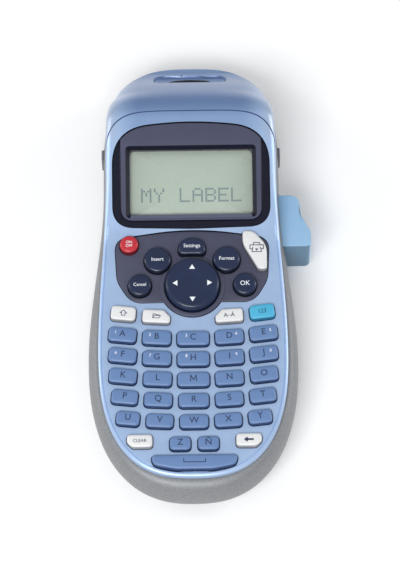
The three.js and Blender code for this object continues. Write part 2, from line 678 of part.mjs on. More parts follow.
function batteryBay() {
  const { halfWidth: w, tail, head, top } = BAY_BOX;
  const wall = BATTERY_BAY.wall;
  const outside = block(-w - wall, w + wall, tail - wall, head + wall, WALL * 0.5, top + wall);
  return outside.intersect(rearBlock(WALL * 0.6, 1));
}

function batterySpace() {
  const { halfWidth: w, tail, head, top } = BAY_BOX;
  return block(-w, w, tail, head, WALL + 0.1, top);
}

function cassetteBay() {
  const w = CASSETTE.halfWidth + BAY.gap;
  const low = CASSETTE.tail - BAY.gap;
  const high = CASSETTE.head + BAY.gap;
  const floor = BAY.floorTop - BAY.wall;
  const floorPlate = block(-w - BAY.wall, w + BAY.wall, low - BAY.wall, BAY.floorHead, floor, BAY.floorTop);
  const outside = block(-w - BAY.wall, w + BAY.wall, low - BAY.wall, high + BAY.wall, 2.5, BAY.floorTop);
  const space = block(-w, w, low, high, 0, floor);
  const tapeWay = block(-9, 9, high - 1, high + BAY.wall + 1, 0, floor);
  const shaftHole = prism(circle(PLATEN.shaft + 0.3, 12, platenX, platenY), floor - 1, BAY.floorTop + 1);
  const rail = block(-w - BAY.wall - 8, w + BAY.wall + 5, 20, 23, floor, BAY.floorTop);
  const made = floorPlate.add(outside).add(rail).subtract(all([space, tapeWay, shaftHole]));
  return placed(made, headFrame).intersect(rearBlock(WALL * 0.6, 6));
}

function buttonOpening() {
  const { tail, head, bottom, top, gap } = BUTTON;
  return block(30, 60, tail - gap, head + gap, bottom - gap, top + gap);
}

function rearShell() {
  const skin = rearBlock(0, 0).subtract(rearBlock(WALL, 3));
  const doorHole = sidePrism(cassetteDoorSide(DOOR_GAP), -60, 60);
  const batteryHole = prism(batteryDoorOutline(DOOR_GAP), -3, 9);
  const opened = skin.subtract(all([doorHole, batteryHole, buttonOpening()]));
  const doorRoom = doorHole.subtract(rearBlock(DOOR_SINK + CASSETTE_DOOR.thick + PART_GAP, 30));
  const batteryWalls = batteryBay().subtract(batterySpace()).subtract(batteryHole);
  return opened.add(batteryWalls).add(cassetteBay().subtract(doorRoom));
}

add("rear_shell", rearShell(), FINISH.greyShell);

// A door: the part of the casing's skin, set in a little, that the cutter takes.
function doorSkin(cutter, thick) {
  return rearBlock(DOOR_SINK, 0).subtract(rearBlock(DOOR_SINK + thick, 3)).intersect(cutter);
}

function cassetteDoor() {
  const { earAt, earHalf, earOut, earTop, thick } = CASSETTE_DOOR;
  const skin = doorSkin(sidePrism(cassetteDoorSide(0), -60, 60), thick);
  const ears = [-1, 1].map((side) => {
    const inner = BELT.neck - 2.2;
    const outer = BELT.neck + earOut;
    const ear = block(inner, outer, earAt - earHalf + 0.3, earAt + earHalf - 0.3, earTop - 9, earTop - 0.2);
    return side > 0 ? ear : ear.mirror([1, 0, 0]);
  });
  return all([skin, ...ears]);
}

add("cassette_door", cassetteDoor(), FINISH.greyShell);
add("battery_door", doorSkin(prism(batteryDoorOutline(0), -3, 9), BATTERY_DOOR.thick), FINISH.greyShell);

// ---- The batteries and the tape cassette --------------------------------------------------------

function batterySet() {
  const lie = new THREE.Matrix4().makeRotationX(-Math.PI / 2);
  const nub = prism(circle(2.75, 12), CELL.length - 2, CELL.length);
  const cell = prism(circle(CELL.radius, 20), 0, CELL.length - 1.2).add(nub);
  const row = [0, 1, 2, 3].map((i) => {
    const turned = i % 2 ? cell.mirror([0, 0, 1]).translate([0, 0, CELL.length]) : cell;
    return turned.transform([...lie.elements]).translate([cellsLeft + i * CELL.pitch, CELL.tail, cellHeight]);
  });
  const strap = (i, y) => {
    const x = cellsLeft + (i + 0.5) * CELL.pitch;
    const half = CELL.pitch / 2 + 3;
    return block(x - half, x + half, y, y + CELL.strap + 0.1, cellHeight - 3, cellHeight + 3);
  };
  const far = CELL.tail + CELL.length - 0.1;
  return all([...row, strap(0, far), strap(1, CELL.tail - CELL.strap), strap(2, far)]);
}

add("battery_set", batterySet(), FINISH.cells);

function tapeCassette() {
  const { halfWidth: w, tail, head, bottom, top, corner } = CASSETTE;
  const outline = rounded([[w, head, 4], [-w, head, 4], [-w, tail, corner], [w, tail, corner]], 4);
  const shell = prism(outline, bottom, top);
  const hub = prism(circle(5, 20, 0, 20), bottom - 1, top + 1);
  const nose = block(-8, -2, head - 8, head + 1, bottom - 1, top + 1);
  return shell.subtract(hub.add(nose));
}

add("tape_cassette", tapeCassette(), FINISH.cassette, headFrame);

// ---- The print mechanism and its gears ----------------------------------------------------------

// A spur gear's outline with straight-sided teeth, a tooth on +X turned by phase.
function gearOutline(teeth, x, y, phase) {
  const pitch = (GEARS.module * teeth) / 2;
  const outer = pitch + GEARS.module * 0.85;
  const root = pitch - GEARS.module * 1.15;
  const step = (2 * Math.PI) / teeth;
  const points = [];
  for (let i = 0; i < teeth; i += 1) {
    const middle = i * step + phase;
    for (const [radius, turn] of [[root, -0.27], [outer, -0.09], [outer, 0.09], [root, 0.27]]) {
      const angle = middle + turn * step;
      points.push(new THREE.Vector2(x + radius * Math.cos(angle), y + radius * Math.sin(angle)));
    }
  }
  return points;
}

const gearDistance = (GEARS.module * (GEARS.platenTeeth + GEARS.pinionTeeth)) / 2 + GEARS.backlash;
const gearTurn = -Math.PI / 3; // direction from the platen's gear to the pinion
const pinionAt = {
  x: platenX + gearDistance * Math.cos(gearTurn),
  y: platenY + gearDistance * Math.sin(gearTurn),
};

function platenRoller() {
  const roller = prism(circle(PLATEN.radius, 20, platenX, platenY), PLATEN.bottom, PLATEN.top);
  const shaft = prism(circle(PLATEN.shaft, 12, platenX, platenY), PLATEN.bottom - 1, GEARS.top + 0.5);
  const gear = prism(gearOutline(GEARS.platenTeeth, platenX, platenY, gearTurn), GEARS.bottom, GEARS.top);
  return all([roller, shaft, gear]);
}

add("platen_roller", platenRoller(), FINISH.rubber, headFrame);

function motorPinion() {
  const phase = gearTurn + Math.PI + Math.PI / GEARS.pinionTeeth;
  return prism(gearOutline(GEARS.pinionTeeth, pinionAt.x, pinionAt.y, phase), GEARS.bottom, GEARS.top + 0.3);
}

add("motor_pinion", motorPinion(), FINISH.gear, headFrame);

function motor() {
  const { x, y } = pinionAt;
  const can = prism(circle(MOTOR.radius, 20, x, y), MOTOR.bottom, MOTOR.top);
  const ears = block(x - 9.5, x + 9.5, y - 2.5, y + 2.5, MOTOR.bottom, MOTOR.bottom + 1.2);
  return can.add(ears);
}

add("motor", motor(), FINISH.steel, headFrame);

function printHead() {
  const { left, right, halfLength } = HEAD_BLOCK;
  const floor = BAY.floorTop - BAY.wall - PART_GAP;
  const post = block(
    left, right - 0.8, platenY - halfLength, platenY + halfLength, PLATEN.bottom - 0.5, floor);
  const face = block(left + 1, right, platenY - 1.6, platenY + 1.6, PLATEN.bottom, PLATEN.top);
  return post.add(face);
}

add("print_head", printHead(), FINISH.steel, headFrame);

// ---- The cutter ---------------------------------------------------------------------------------

const flangeOuter = BELT.neck - WALL - FLANGE.clearance;
const HOLDER = { from: 3, to: 6.4, halfLength: 1.4 }; // what the arm carries the blade with

// The arm, in the head's plane: from the flange along the cassette bay's side to the blade's holder.
function buttonArm() {
  const w = BUTTON_ARM.width / 2;
  const tip = BLADE.along;
  const root = flangeOuter - 0.3;
  const outline = rounded([
    [root, -6], [root, 8, 3], [29 + w, 36, 4], [15 + w, tip], [HOLDER.from, tip],
    [HOLDER.from, tip - 2.2], [15 - w, tip - 2.2, 2], [29 - w, 34, 4], [root - 4.2, 0], [root - 4.2, -6],
  ], 2);
  return prism(outline, BUTTON_ARM.bottom, BUTTON_ARM.bottom + BUTTON_ARM.thick);
}

function cutterButton() {
  const { tail, head, bottom, top, reach } = BUTTON;
  const root = flangeOuter - 0.1;
  const outline = rounded([
    [root, tail], [reach, tail, 3], [reach, tail + 7.4, 6], [reach - 4.2, tail + 15.5, 8],
    [reach - 4.9, head, 5], [root, head],
  ], 4);
  const grip = bevelled(outline, bottom, top, 0.8);
  const inner = flangeOuter - FLANGE.thick;
  const flange = block(inner, flangeOuter, tail - FLANGE.out, head + FLANGE.out, bottom + 6, top - 2.5);
  const { from, to, halfLength } = HOLDER;
  const holder = block(
    from, to, BLADE.along - halfLength, BLADE.along + halfLength, BLADE.bottom, BUTTON_ARM.bottom + 1);
  return all([grip, flange, placed(buttonArm(), headFrame), placed(holder, headFrame)]);
}

function cutterBlade() {
  const half = BLADE.thick / 2;
  const back = HOLDER.from - PART_GAP;
  return block(BLADE.edge, back, BLADE.along - half, BLADE.along + half, BLADE.bottom, BLADE.top);
}

add("cutter_button", cutterButton(), FINISH.button);
add("cutter_blade", cutterBlade(), FINISH.steel, headFrame);

export default body;
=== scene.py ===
# %% [markdown]
# # A handheld label maker
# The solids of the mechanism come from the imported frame. This script gives each of them its looks: casings
# with smooth skins, silicone keys with legends, a display under its window, and what the doors uncover.
# Everything is in metres in the frame's own axes: +Z out of the keys, +Y towards the tape exit, +X right.

import json
import math

import bpy
import bmesh
from mathutils import Matrix, Vector
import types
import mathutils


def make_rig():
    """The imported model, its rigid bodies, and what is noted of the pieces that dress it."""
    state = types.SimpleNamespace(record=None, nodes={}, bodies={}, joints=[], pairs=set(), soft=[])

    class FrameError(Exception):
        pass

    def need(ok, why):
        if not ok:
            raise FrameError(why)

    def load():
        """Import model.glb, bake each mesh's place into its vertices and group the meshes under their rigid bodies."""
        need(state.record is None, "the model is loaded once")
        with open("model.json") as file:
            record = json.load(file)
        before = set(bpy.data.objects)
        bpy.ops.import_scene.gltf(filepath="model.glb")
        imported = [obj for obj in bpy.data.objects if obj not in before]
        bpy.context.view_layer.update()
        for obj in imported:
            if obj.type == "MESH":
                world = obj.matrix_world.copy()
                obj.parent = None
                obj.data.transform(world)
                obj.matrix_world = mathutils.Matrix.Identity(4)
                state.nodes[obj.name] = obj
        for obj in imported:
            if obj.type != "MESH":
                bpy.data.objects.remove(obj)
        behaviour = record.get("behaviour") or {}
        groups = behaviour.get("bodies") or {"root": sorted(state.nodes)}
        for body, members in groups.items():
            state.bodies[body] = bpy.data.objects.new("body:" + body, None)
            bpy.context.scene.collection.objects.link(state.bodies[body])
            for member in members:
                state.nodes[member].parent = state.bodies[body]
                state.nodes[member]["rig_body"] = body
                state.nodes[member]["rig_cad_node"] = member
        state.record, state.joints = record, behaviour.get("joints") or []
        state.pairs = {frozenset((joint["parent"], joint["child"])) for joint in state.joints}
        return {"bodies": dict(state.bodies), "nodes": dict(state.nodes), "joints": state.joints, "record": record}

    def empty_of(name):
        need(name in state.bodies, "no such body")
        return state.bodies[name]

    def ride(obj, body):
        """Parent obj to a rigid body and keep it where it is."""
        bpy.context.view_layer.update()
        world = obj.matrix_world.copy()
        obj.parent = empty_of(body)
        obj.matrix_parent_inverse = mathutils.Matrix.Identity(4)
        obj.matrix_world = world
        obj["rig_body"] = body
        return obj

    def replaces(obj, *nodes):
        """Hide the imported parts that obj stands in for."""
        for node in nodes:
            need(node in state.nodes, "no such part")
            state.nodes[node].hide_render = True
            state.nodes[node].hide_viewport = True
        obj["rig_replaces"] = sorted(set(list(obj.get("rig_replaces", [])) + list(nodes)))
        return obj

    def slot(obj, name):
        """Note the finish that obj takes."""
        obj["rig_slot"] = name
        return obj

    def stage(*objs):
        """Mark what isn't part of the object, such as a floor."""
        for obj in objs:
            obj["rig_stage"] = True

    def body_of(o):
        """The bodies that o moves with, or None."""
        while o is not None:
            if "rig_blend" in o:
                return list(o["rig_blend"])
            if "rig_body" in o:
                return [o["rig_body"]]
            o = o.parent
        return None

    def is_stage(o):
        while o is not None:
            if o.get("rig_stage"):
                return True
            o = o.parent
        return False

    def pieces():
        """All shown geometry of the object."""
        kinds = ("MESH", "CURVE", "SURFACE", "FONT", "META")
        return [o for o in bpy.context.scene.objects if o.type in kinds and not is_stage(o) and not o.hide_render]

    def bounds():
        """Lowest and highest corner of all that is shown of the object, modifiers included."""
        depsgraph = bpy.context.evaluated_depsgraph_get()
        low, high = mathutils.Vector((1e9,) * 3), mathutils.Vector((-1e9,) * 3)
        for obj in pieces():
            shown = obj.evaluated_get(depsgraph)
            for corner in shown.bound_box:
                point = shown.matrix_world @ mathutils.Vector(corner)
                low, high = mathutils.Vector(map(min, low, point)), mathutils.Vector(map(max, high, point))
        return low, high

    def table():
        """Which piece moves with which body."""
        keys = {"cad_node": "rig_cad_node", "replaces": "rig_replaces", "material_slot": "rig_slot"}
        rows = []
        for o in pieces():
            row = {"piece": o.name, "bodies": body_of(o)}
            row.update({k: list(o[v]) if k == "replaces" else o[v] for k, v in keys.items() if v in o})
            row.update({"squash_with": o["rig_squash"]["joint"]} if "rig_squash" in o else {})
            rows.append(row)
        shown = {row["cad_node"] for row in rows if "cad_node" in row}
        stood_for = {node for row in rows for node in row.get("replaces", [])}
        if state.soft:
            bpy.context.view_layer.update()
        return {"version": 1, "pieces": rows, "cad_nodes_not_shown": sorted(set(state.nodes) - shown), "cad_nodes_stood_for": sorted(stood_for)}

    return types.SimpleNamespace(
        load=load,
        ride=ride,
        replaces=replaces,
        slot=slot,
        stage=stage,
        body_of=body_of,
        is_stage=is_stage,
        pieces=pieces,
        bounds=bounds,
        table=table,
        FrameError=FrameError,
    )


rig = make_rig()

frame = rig.load()
CAD_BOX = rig.bounds()
print("nodes:", len(frame["nodes"]))
print("CAD box, m:", [tuple(round(v, 4) for v in corner) for corner in CAD_BOX])

MM = 0.001


# %% [markdown]
# ## View and light
# The label maker is looked at from the tail, 25 degrees off straight down, and a touch rolled. A long lens
# keeps it nearly free of perspective, as product pictures are. The camera's axes are written out as a
# matrix, because a roll is easier to state as "which way is up" than as three angles.

# %% Camera
TILT = math.radians(25)
ROLL = math.radians(0.8)
DISTANCE = 1.3
LENS = 188.8
LOOKED_AT = Vector((3.3, -7.0, 30)) * MM

rise = Vector((0, math.cos(TILT), math.sin(TILT)))
towards_camera = Vector((0, -math.sin(TILT), math.cos(TILT)))
up = Vector((math.sin(ROLL), 0, 0)) + rise * math.cos(ROLL)
right = up.cross(towards_camera)

camera = bpy.data.objects.new("camera", bpy.data.cameras.new("camera"))
bpy.context.collection.objects.link(camera)
camera.data.lens = LENS
camera.data.sensor_width = 36
camera.data.clip_end = 20
facing = Matrix((right, up, towards_camera)).transposed().to_4x4()
camera.matrix_world = Matrix.Translation(LOOKED_AT + towards_camera * DISTANCE) @ facing
bpy.context.scene.camera = camera
print("camera at", tuple(round(v, 3) for v in camera.location))


# %% [markdown]
# The light is a plain bright studio: a white surround, one large soft panel above the tail end, and two side
# panels whose long reflections show how the casing curves. The domed forehead's darker gradient comes from
# this light and from painted shade in the blue lacquer.

# %% Light and floor
def panel_light(name, place, size, power, aim=(0, 0, 0.03)):
    data = bpy.data.lights.new(name, "AREA")
    data.shape = "RECTANGLE"
    data.size, data.size_y = size
    data.energy = power
    light = bpy.data.objects.new(name, data)
    bpy.context.collection.objects.link(light)
    light.location = place
    light.rotation_euler = (Vector(aim) - Vector(place)).to_track_quat("-Z", "Y").to_euler()
    return light


panel_light("key_panel", (-0.3, -0.9, 1.2), (0.8, 0.5), 15)
panel_light("left_strip", (-0.9, 0.2, 0.3), (0.2, 1.0), 2.5)
panel_light("right_strip", (0.9, 0.25, 0.3), (0.2, 1.0), 3)

world = bpy.data.worlds.new("studio")
bpy.context.scene.world = world
world.use_nodes = True
world.node_tree.nodes["Background"].inputs["Color"].default_value = (0.95, 0.97, 1, 1)
world.node_tree.nodes["Background"].inputs["Strength"].default_value = 0.5
bpy.context.scene.view_settings.view_transform = "Standard"


# %% [markdown]
# ## Shader maths as expressions
# A wrapped socket adds a Math node whenever it meets an operator, so a mask can be written as `1 - spots *
# 0.3`. Any other node comes from one method, which sets the node's own settings first and then its sockets.

# %% Wrapped sockets
class Wire:
    """A socket's output, with arithmetic."""

    def __init__(self, paint, socket):
        self.paint = paint
        self.socket = socket

    def _math(self, operation, *values):
        return self.paint.node("Math", {"operation": operation}, dict(enumerate(values)))

    def __add__(self, other):
        return self._math("ADD", self, other)

    __radd__ = __add__

    def __mul__(self, other):
        return self._math("MULTIPLY", self, other)

    __rmul__ = __mul__

    def __sub__(self, other):
        return self._math("SUBTRACT", self, other)

    def __rsub__(self, other):
        return self._math("SUBTRACT", other, self)

    def __gt__(self, other):
        return self._math("GREATER_THAN", self, other)


class Paint:
    """A material under construction: one Principled shader and the nodes that feed it."""

    def __init__(self, name, **fixed):
        self.material = bpy.data.materials.new(name)
        self.material.use_nodes = True
        self.tree = self.material.node_tree
        self.shader = self.tree.nodes["Principled BSDF"]
        self.place = self.node("TexCoord").paint_output("Object")
        for socket, value in fixed.items():
            self.shader.inputs[socket.replace("_", " ")].default_value = value

    def node(self, kind, settings=None, inputs=None, output=0):
        made = self.tree.nodes.new("ShaderNode" + kind)
        for key, value in (settings or {}).items():
            if key == "stops":
                for stop, (position, colour) in zip(made.color_ramp.elements, value):
                    stop.position = position
                    stop.color = colour
            else:
                setattr(made, key, value)
        for key, value in (inputs or {}).items():
            if isinstance(value, Wire):
                self.tree.links.new(value.socket, made.inputs[key])
            else:
                made.inputs[key].default_value = value
        wire = Wire(self, made.outputs[output])
        wire.paint_output = lambda named: Wire(self, made.outputs[named])
        return wire

    def noise(self, scale, detail=2, stretch=(1, 1, 1)):
        spot = self.node("Mapping", {}, {"Vector": self.place, "Scale": stretch})
        return self.node("TexNoise", {}, {"Vector": spot, "Scale": scale, "Detail": detail})

    def place_axis(self, axis):
        """Where a point lies along one axis, in metres."""
        return self.node("SeparateXYZ", {}, {"Vector": self.place}).paint_output(axis)

    def ramp(self, wire, ends):
        """0 below the first end, 1 above the second, smooth between."""
        values = {"Value": wire, "From Min": ends[0], "From Max": ends[1]}
        return self.node("MapRange", {"interpolation_type": "SMOOTHSTEP"}, values)

    def cells(self, scale):
        return self.node("TexVoronoi", {}, {"Vector": self.place, "Scale": scale})

    def blend(self, factor, first, second):
        mixed = self.node("Mix", {"data_type": "RGBA"}, {0: factor, 6: first, 7: second}, output=2)
        return mixed

    def drive(self, socket, wire):
        self.tree.links.new(wire.socket, self.shader.inputs[socket])

    def bump(self, height, strength, distance=0.0001):
        bumped = self.node("Bump", {}, {"Height": height, "Strength": strength, "Distance": distance})
        self.drive("Normal", bumped)


def tone(code, alpha=1):
    """A colour from its six-digit sRGB code, as linear light."""
    channels = [int(code[i:i + 2], 16) / 255 for i in (0, 2, 4)]
    return tuple(c / 12.92 if c < 0.04045 else ((c + 0.055) / 1.055) ** 2.4 for c in channels) + (alpha,)


# %% [markdown]
# ## Finishes
# The blue casing is a pearl lacquer: fine metal flakes under a clear coat. Flakes are far smaller than a
# label maker's features, so they are a fast noise that moves the colour and roughness a little, with a slow
# noise for the orange-peel of sprayed lacquer. Along the head a painted shade darkens the lacquer over the
# brow, which slopes away from the light, and a painted sheen greys it down the sides, in zones given by how
# far a point lies along the body and from its middle line.

# %% Blue pearl lacquer
# Zones of painted light on the head: painted shade over the crown and brow, painted sheen down the sides.
HEAD_PAINTED_SHADE_SHEEN_ZONE = (0.05, 0.062)
PAINTED_BROW_SHADE_ZONE = (0.062, 0.074)
PAINTED_BROW_SHADE_END = (0.097, 0.106)
PAINTED_SHADE_MIDDLE_ZONE = (0.022, 0.037)
PAINTED_SHEEN_SIDE_ZONE = (0.03, 0.038)


def pearl(name, dark, light, flakes=5200):
    paint = Paint(name, Metallic=0.35, Coat_Weight=0.35, Coat_Roughness=0.12)
    flake = paint.noise(flakes, 1)
    cloud = paint.noise(60, 3)
    shade = paint.blend(flake * 0.7 + cloud * 0.3, dark, light)
    along = paint.place_axis("Y")
    across = paint.node("Math", {"operation": "ABSOLUTE"}, {0: paint.place_axis("X")})
    # Masks of painted light: the head zone, the brow, and the middle line that the painted shade keeps to.
    crown = paint.ramp(along, HEAD_PAINTED_SHADE_SHEEN_ZONE)
    painted_brow_shade = paint.ramp(along, PAINTED_BROW_SHADE_ZONE) * (1 - paint.ramp(along, PAINTED_BROW_SHADE_END))
    middle = 1 - paint.ramp(across, PAINTED_SHADE_MIDDLE_ZONE)
    # Painted shade: a darker blue over the crown and the brow.
    shade = paint.blend((crown * 0.5 + painted_brow_shade * 0.38) * middle, shade, tone("5877a8"))
    # Painted sheen: a pale grey down the head's sides.
    shade = paint.blend(crown * paint.ramp(across, PAINTED_SHEEN_SIDE_ZONE) * 0.7, shade, tone("aeb4bf"))
    paint.drive("Base Color", shade)
    paint.drive("Roughness", flake * 0.16 + 0.26)
    paint.bump(cloud * 0.4 + flake * 0.12, 0.25, 0.00008)
    return paint.material


BLUE = pearl("blue_pearl", tone("8ba9d3"), tone("bfd5f2"))


# %% [markdown]
# The grey casing is moulded in plastic with metal powder in it and has a spark-eroded texture: a fine even
# grain that scatters light, with a few bright specks.

# %% Grey textured plastic
def metallic_plastic(name, dark, light):
    paint = Paint(name, Metallic=0.5)
    grain = paint.noise(2600, 2)
    specks = paint.cells(2300) > 0.55
    paint.drive("Base Color", paint.blend(grain * 0.9 + specks * 0.12, dark, light))
    paint.drive("Roughness", grain * 0.22 + 0.42)
    paint.bump(grain, 0.45, 0.00012)
    return paint.material


GREY = metallic_plastic("grey_metallic", tone("5c5d5f"), tone("a9abad"))
TAB_GREY = metallic_plastic("tab_grey", tone("5b5a60"), tone("8f8e95"))


# %% [markdown]
# Silicone keys are dyed right through and feel dry: no gloss, a very fine skin, and slightly lighter where
# fingers have polished them. Function keys are smoother than the letter keys.

# %% Silicone
def silicone(name, colour, worn, rough=0.5):
    paint = Paint(name, Specular_IOR_Level=0.45)
    handling = paint.noise(130, 3)
    skin = paint.noise(4200, 2)
    paint.drive("Base Color", paint.blend(handling * 0.8, colour, worn))
    paint.drive("Roughness", rough - handling * 0.14)
    paint.bump(skin, 0.18, 0.00006)
    return paint.material


LETTER_KEY = silicone("letter_key_blue", tone("5d7aa8"), tone("6a87b4"))
WHITE_KEY = silicone("key_white", tone("d6d7d8"), tone("e4e4e4"), 0.45)
TEAL_KEY = silicone("key_teal", tone("3fa3c9"), tone("58b6d8"), 0.45)
RED_KEY = silicone("key_red", tone("b4222e"), tone("c93a44"), 0.4)
NAVY_KEY = silicone("key_navy", tone("17223c"), tone("232f50"), 0.36)
# Darker copies of each key colour: painted shade for the keys' steep sides.
PAINTED_SHADE_SIDES = {
    LETTER_KEY.name: silicone("letter_key_side", tone("22375f"), tone("2d4470"), 0.6),
    WHITE_KEY.name: silicone("white_key_side", tone("8d8e94"), tone("a3a4a8"), 0.6),
    TEAL_KEY.name: silicone("teal_key_side", tone("1d6a8c"), tone("2a7c9f"), 0.6),
    RED_KEY.name: silicone("red_key_side", tone("6e0f19"), tone("841722"), 0.6),
    NAVY_KEY.name: silicone("navy_key_side", tone("0b1020"), tone("131a30"), 0.5),
}
# A dark blue for the walls of the key holes: painted shade in the gaps round the keys.
KEY_GAP_PAINTED_SHADE = silicone("key_web", tone("2f4468"), tone("3b5580"), 0.6)


# %% Hard plastics
def moulded(name, dark, light, rough=0.35, grain=0.2, scale=900, **fixed):
    paint = Paint(name, **fixed)
    flow = paint.noise(45, 3)
    skin = paint.noise(scale, 2)
    paint.drive("Base Color", paint.blend(flow * 0.6 + skin * 0.4, dark, light))
    paint.drive("Roughness", rough + skin * 0.12)
    paint.bump(skin, grain, 0.00006)
    return paint.material


GRAPHITE = moulded("graphite_panel", tone("3a3c4d"), tone("50526a"), 0.36, 0.25, 2200)
BEZEL_GREY = moulded("graphite_bezel", tone("3a3d52"), tone("505369"), 0.26, 0.15, 2400)
# Near-black navy: the band's colour darkened as painted shade, also painted shade on the opening's sides.
BEZEL_NAVY_PAINTED_SHADE = moulded("bezel_edge_navy", tone("050618"), tone("090b26"), 0.34, 0.08, Specular_IOR_Level=0.25)
# Painted light on the opening's side that faces the keys.
BEZEL_PAINTED_LIGHT = moulded("bezel_foot", tone("565a70"), tone("6e7288"), 0.3, 0.1)
LCD = moulded("lcd_glass", tone("a0ae9f"), tone("a8b6a5"), 0.22, 0.05, 60)
DOT_INK = moulded("dot_ink", tone("4a6468"), tone("5b777a"), 0.4, 0.05)
LIGHT_BLUE = moulded("button_light_blue", tone("86aed0"), tone("9fc3df"), 0.38, 0.15, 1200)
# A darker copy of the button's light blue: painted shade on its end.
BUTTON_END_PAINTED_SHADE = moulded("button_end", tone("59788f"), tone("6a8aa3"), 0.5, 0.15, 1200)
INK_LIGHT = moulded("legend_light", tone("dfe4ea"), tone("f2f5f8"), 0.5, 0.1)
INK_DARK = moulded("legend_dark", tone("1d2a44"), tone("2c3b5c"), 0.5, 0.1)
INK_TEAL = moulded("legend_ink_teal", tone("10445c"), tone("175a78"), 0.5, 0.1)
CASSETTE = moulded("cassette_grey", tone("bcbdb8"), tone("d3d4cf"), 0.42, 0.4, 1500)
GEAR = moulded("acetal", tone("d8d3c0"), tone("ece8da"), 0.32, 0.1)
# Black plastic for chips, bays and the display mask, also painted shade on the walls of cut openings.
BLACK_AND_PAINTED_SHADE = moulded("black_plastic", tone("0b0c10"), tone("16181e"), 0.5, 0.3, 1600)
RUBBER = moulded("platen_rubber", tone("141416"), tone("232326"), 0.75, 0.5, 1800)
# A darker blue for the seam's groove: painted shadow.
SEAM_PAINTED_SHADOW = moulded("seam_shadow", tone("31456b"), tone("3b5280"), 0.6, 0.1)
BOARD = moulded("board_green", tone("0f4a2a"), tone("1d6b3c"), 0.3, 0.3, 700)
STEEL = moulded("steel", tone("8f9296"), tone("c2c5c8"), 0.24, 0.15, 1400, Metallic=1.0)
ALUMINIUM = moulded("aluminium", tone("a9adb1"), tone("cfd2d5"), 0.32, 0.2, 1200, Metallic=1.0)
GOLD = moulded("gold_pads", tone("b8923e"), tone("dcb964"), 0.25, 0.1, 600, Metallic=1.0)
PLATE = moulded("rating_foil", tone("b9bcbf"), tone("d2d4d6"), 0.3, 0.1, 900, Metallic=0.7)
CELL_BAND = moulded("cell_band", tone("a8642c"), tone("c98546"), 0.28, 0.05, 400, Metallic=0.5)
WINDOW = moulded("clear_window", tone("e8eeee"), tone("f6fafa"), 0.04, 0.02, 40, Alpha=0.07)
CELL_SLEEVE = moulded("cell_sleeve", tone("1d2026"), tone("2b3038"), 0.25, 0.05, 400, Metallic=0.4)
print("finishes:", len(bpy.data.materials))


# %% [markdown]
# ## Meshes from millimetres
# The casings follow smooth rules, so their meshes are lofts: rings with the same number of points, joined
# by four-sided faces and closed by a fan at each end. Lengths are written in millimetres and turned to
# metres once, here.

# %% Mesh helpers
def piece(name, points, faces, material, sharp=35, mm=MM):
    """A new object from points in millimetres, smooth except across edges sharper than `sharp` degrees."""
    mesh = bpy.data.meshes.new(name)
    mesh.from_pydata([Vector(p) * mm for p in points], [], faces)
    mesh.materials.append(material)
    made = bpy.data.objects.new(name, mesh)
    bpy.context.collection.objects.link(made)
    tidy(made, sharp)
    return made


def tidy(made, sharp=35, merge=1e-7):
    """Merges doubles, drops empty faces, turns every face outwards and shades by angle."""
    work = bmesh.new()
    work.from_mesh(made.data)
    bmesh.ops.remove_doubles(work, verts=work.verts, dist=merge)
    bmesh.ops.dissolve_degenerate(work, edges=work.edges, dist=merge)
    bmesh.ops.recalc_face_normals(work, faces=work.faces)
    work.to_mesh(made.data)
    work.free()
    made.data.shade_smooth()
    made.data.set_sharp_from_angle(angle=math.radians(sharp))
    return made


def loft(name, rings, material, sharp=35, closed_ends=False):
    """A closed solid through rings, first to last. An end that hasn't shrunk to a line is closed by a fan."""
    count = len(rings[0])
    points = [p for ring in rings for p in ring]
    faces = []
    for k in range(len(rings) - 1):
        for i in range(count):
            j = (i + 1) % count
            faces.append((k * count + i, k * count + j, (k + 1) * count + j, (k + 1) * count + i))
    for k in () if closed_ends else (0, len(rings) - 1):
        middle = len(points)
        ring = rings[k]
        points.append(tuple(sum(p[a] for p in ring) / count for a in range(3)))
        faces += [(k * count + i, k * count + (i + 1) % count, middle) for i in range(count)]
    return piece(name, points, faces, material, sharp)


def final_mesh(made):
    """Applies every modifier of a piece and removes them."""
    graph = bpy.context.evaluated_depsgraph_get()
    mesh = bpy.data.meshes.new_from_object(made.evaluated_get(graph))
    made.modifiers.clear()
    made.data = mesh
    return made


def cut(made, tools, operation="DIFFERENCE"):
    """Cuts a piece by closed tools in turn; the tools are used up."""
    for tool in tools:
        boolean = made.modifiers.new("cut", "BOOLEAN")
        boolean.operation = operation
        boolean.solver = "MANIFOLD"
        boolean.material_mode = "TRANSFER"
        boolean.object = tool
        final_mesh(made)
        bpy.data.objects.remove(tool)
    return made


def joined(name, parts):
    """Several pieces as one object with all their materials."""
    with bpy.context.temp_override(active_object=parts[0], selected_editable_objects=parts):
        bpy.ops.object.join()
    parts[0].name = name
    return parts[0]


# %% [markdown]
# ## The rules of the casings
# Both casings share an outline where they meet, the rim. The grey casing swells out below it to the belt
# and comes in again to the flat sole. Heights along the middle are smooth curves through a few knots of
# position, height and slope. These are the frame's own rules, drawn here with many more points.

# %% Outlines and height lines
RIM = dict(tail=-95.4, head=104.8, grip=40.9, neck=37.4, tail_power=2.6, head_power=3)
BELT = dict(tail=-102, head=105.4, grip=45.5, neck=38.9, tail_power=2.4, head_power=3)
SOLE = dict(tail=-87, head=99, grip=32, neck=29.5, tail_power=2.4, head_power=3)
TAIL_START, GRIP_END, NECK_START, HEAD_START = -37, -38, 40, 50
SPINE = (-45, 60)
WALL = 2.2
CASING_GAP = 0.3
HEAD_SLOPE = 0.22

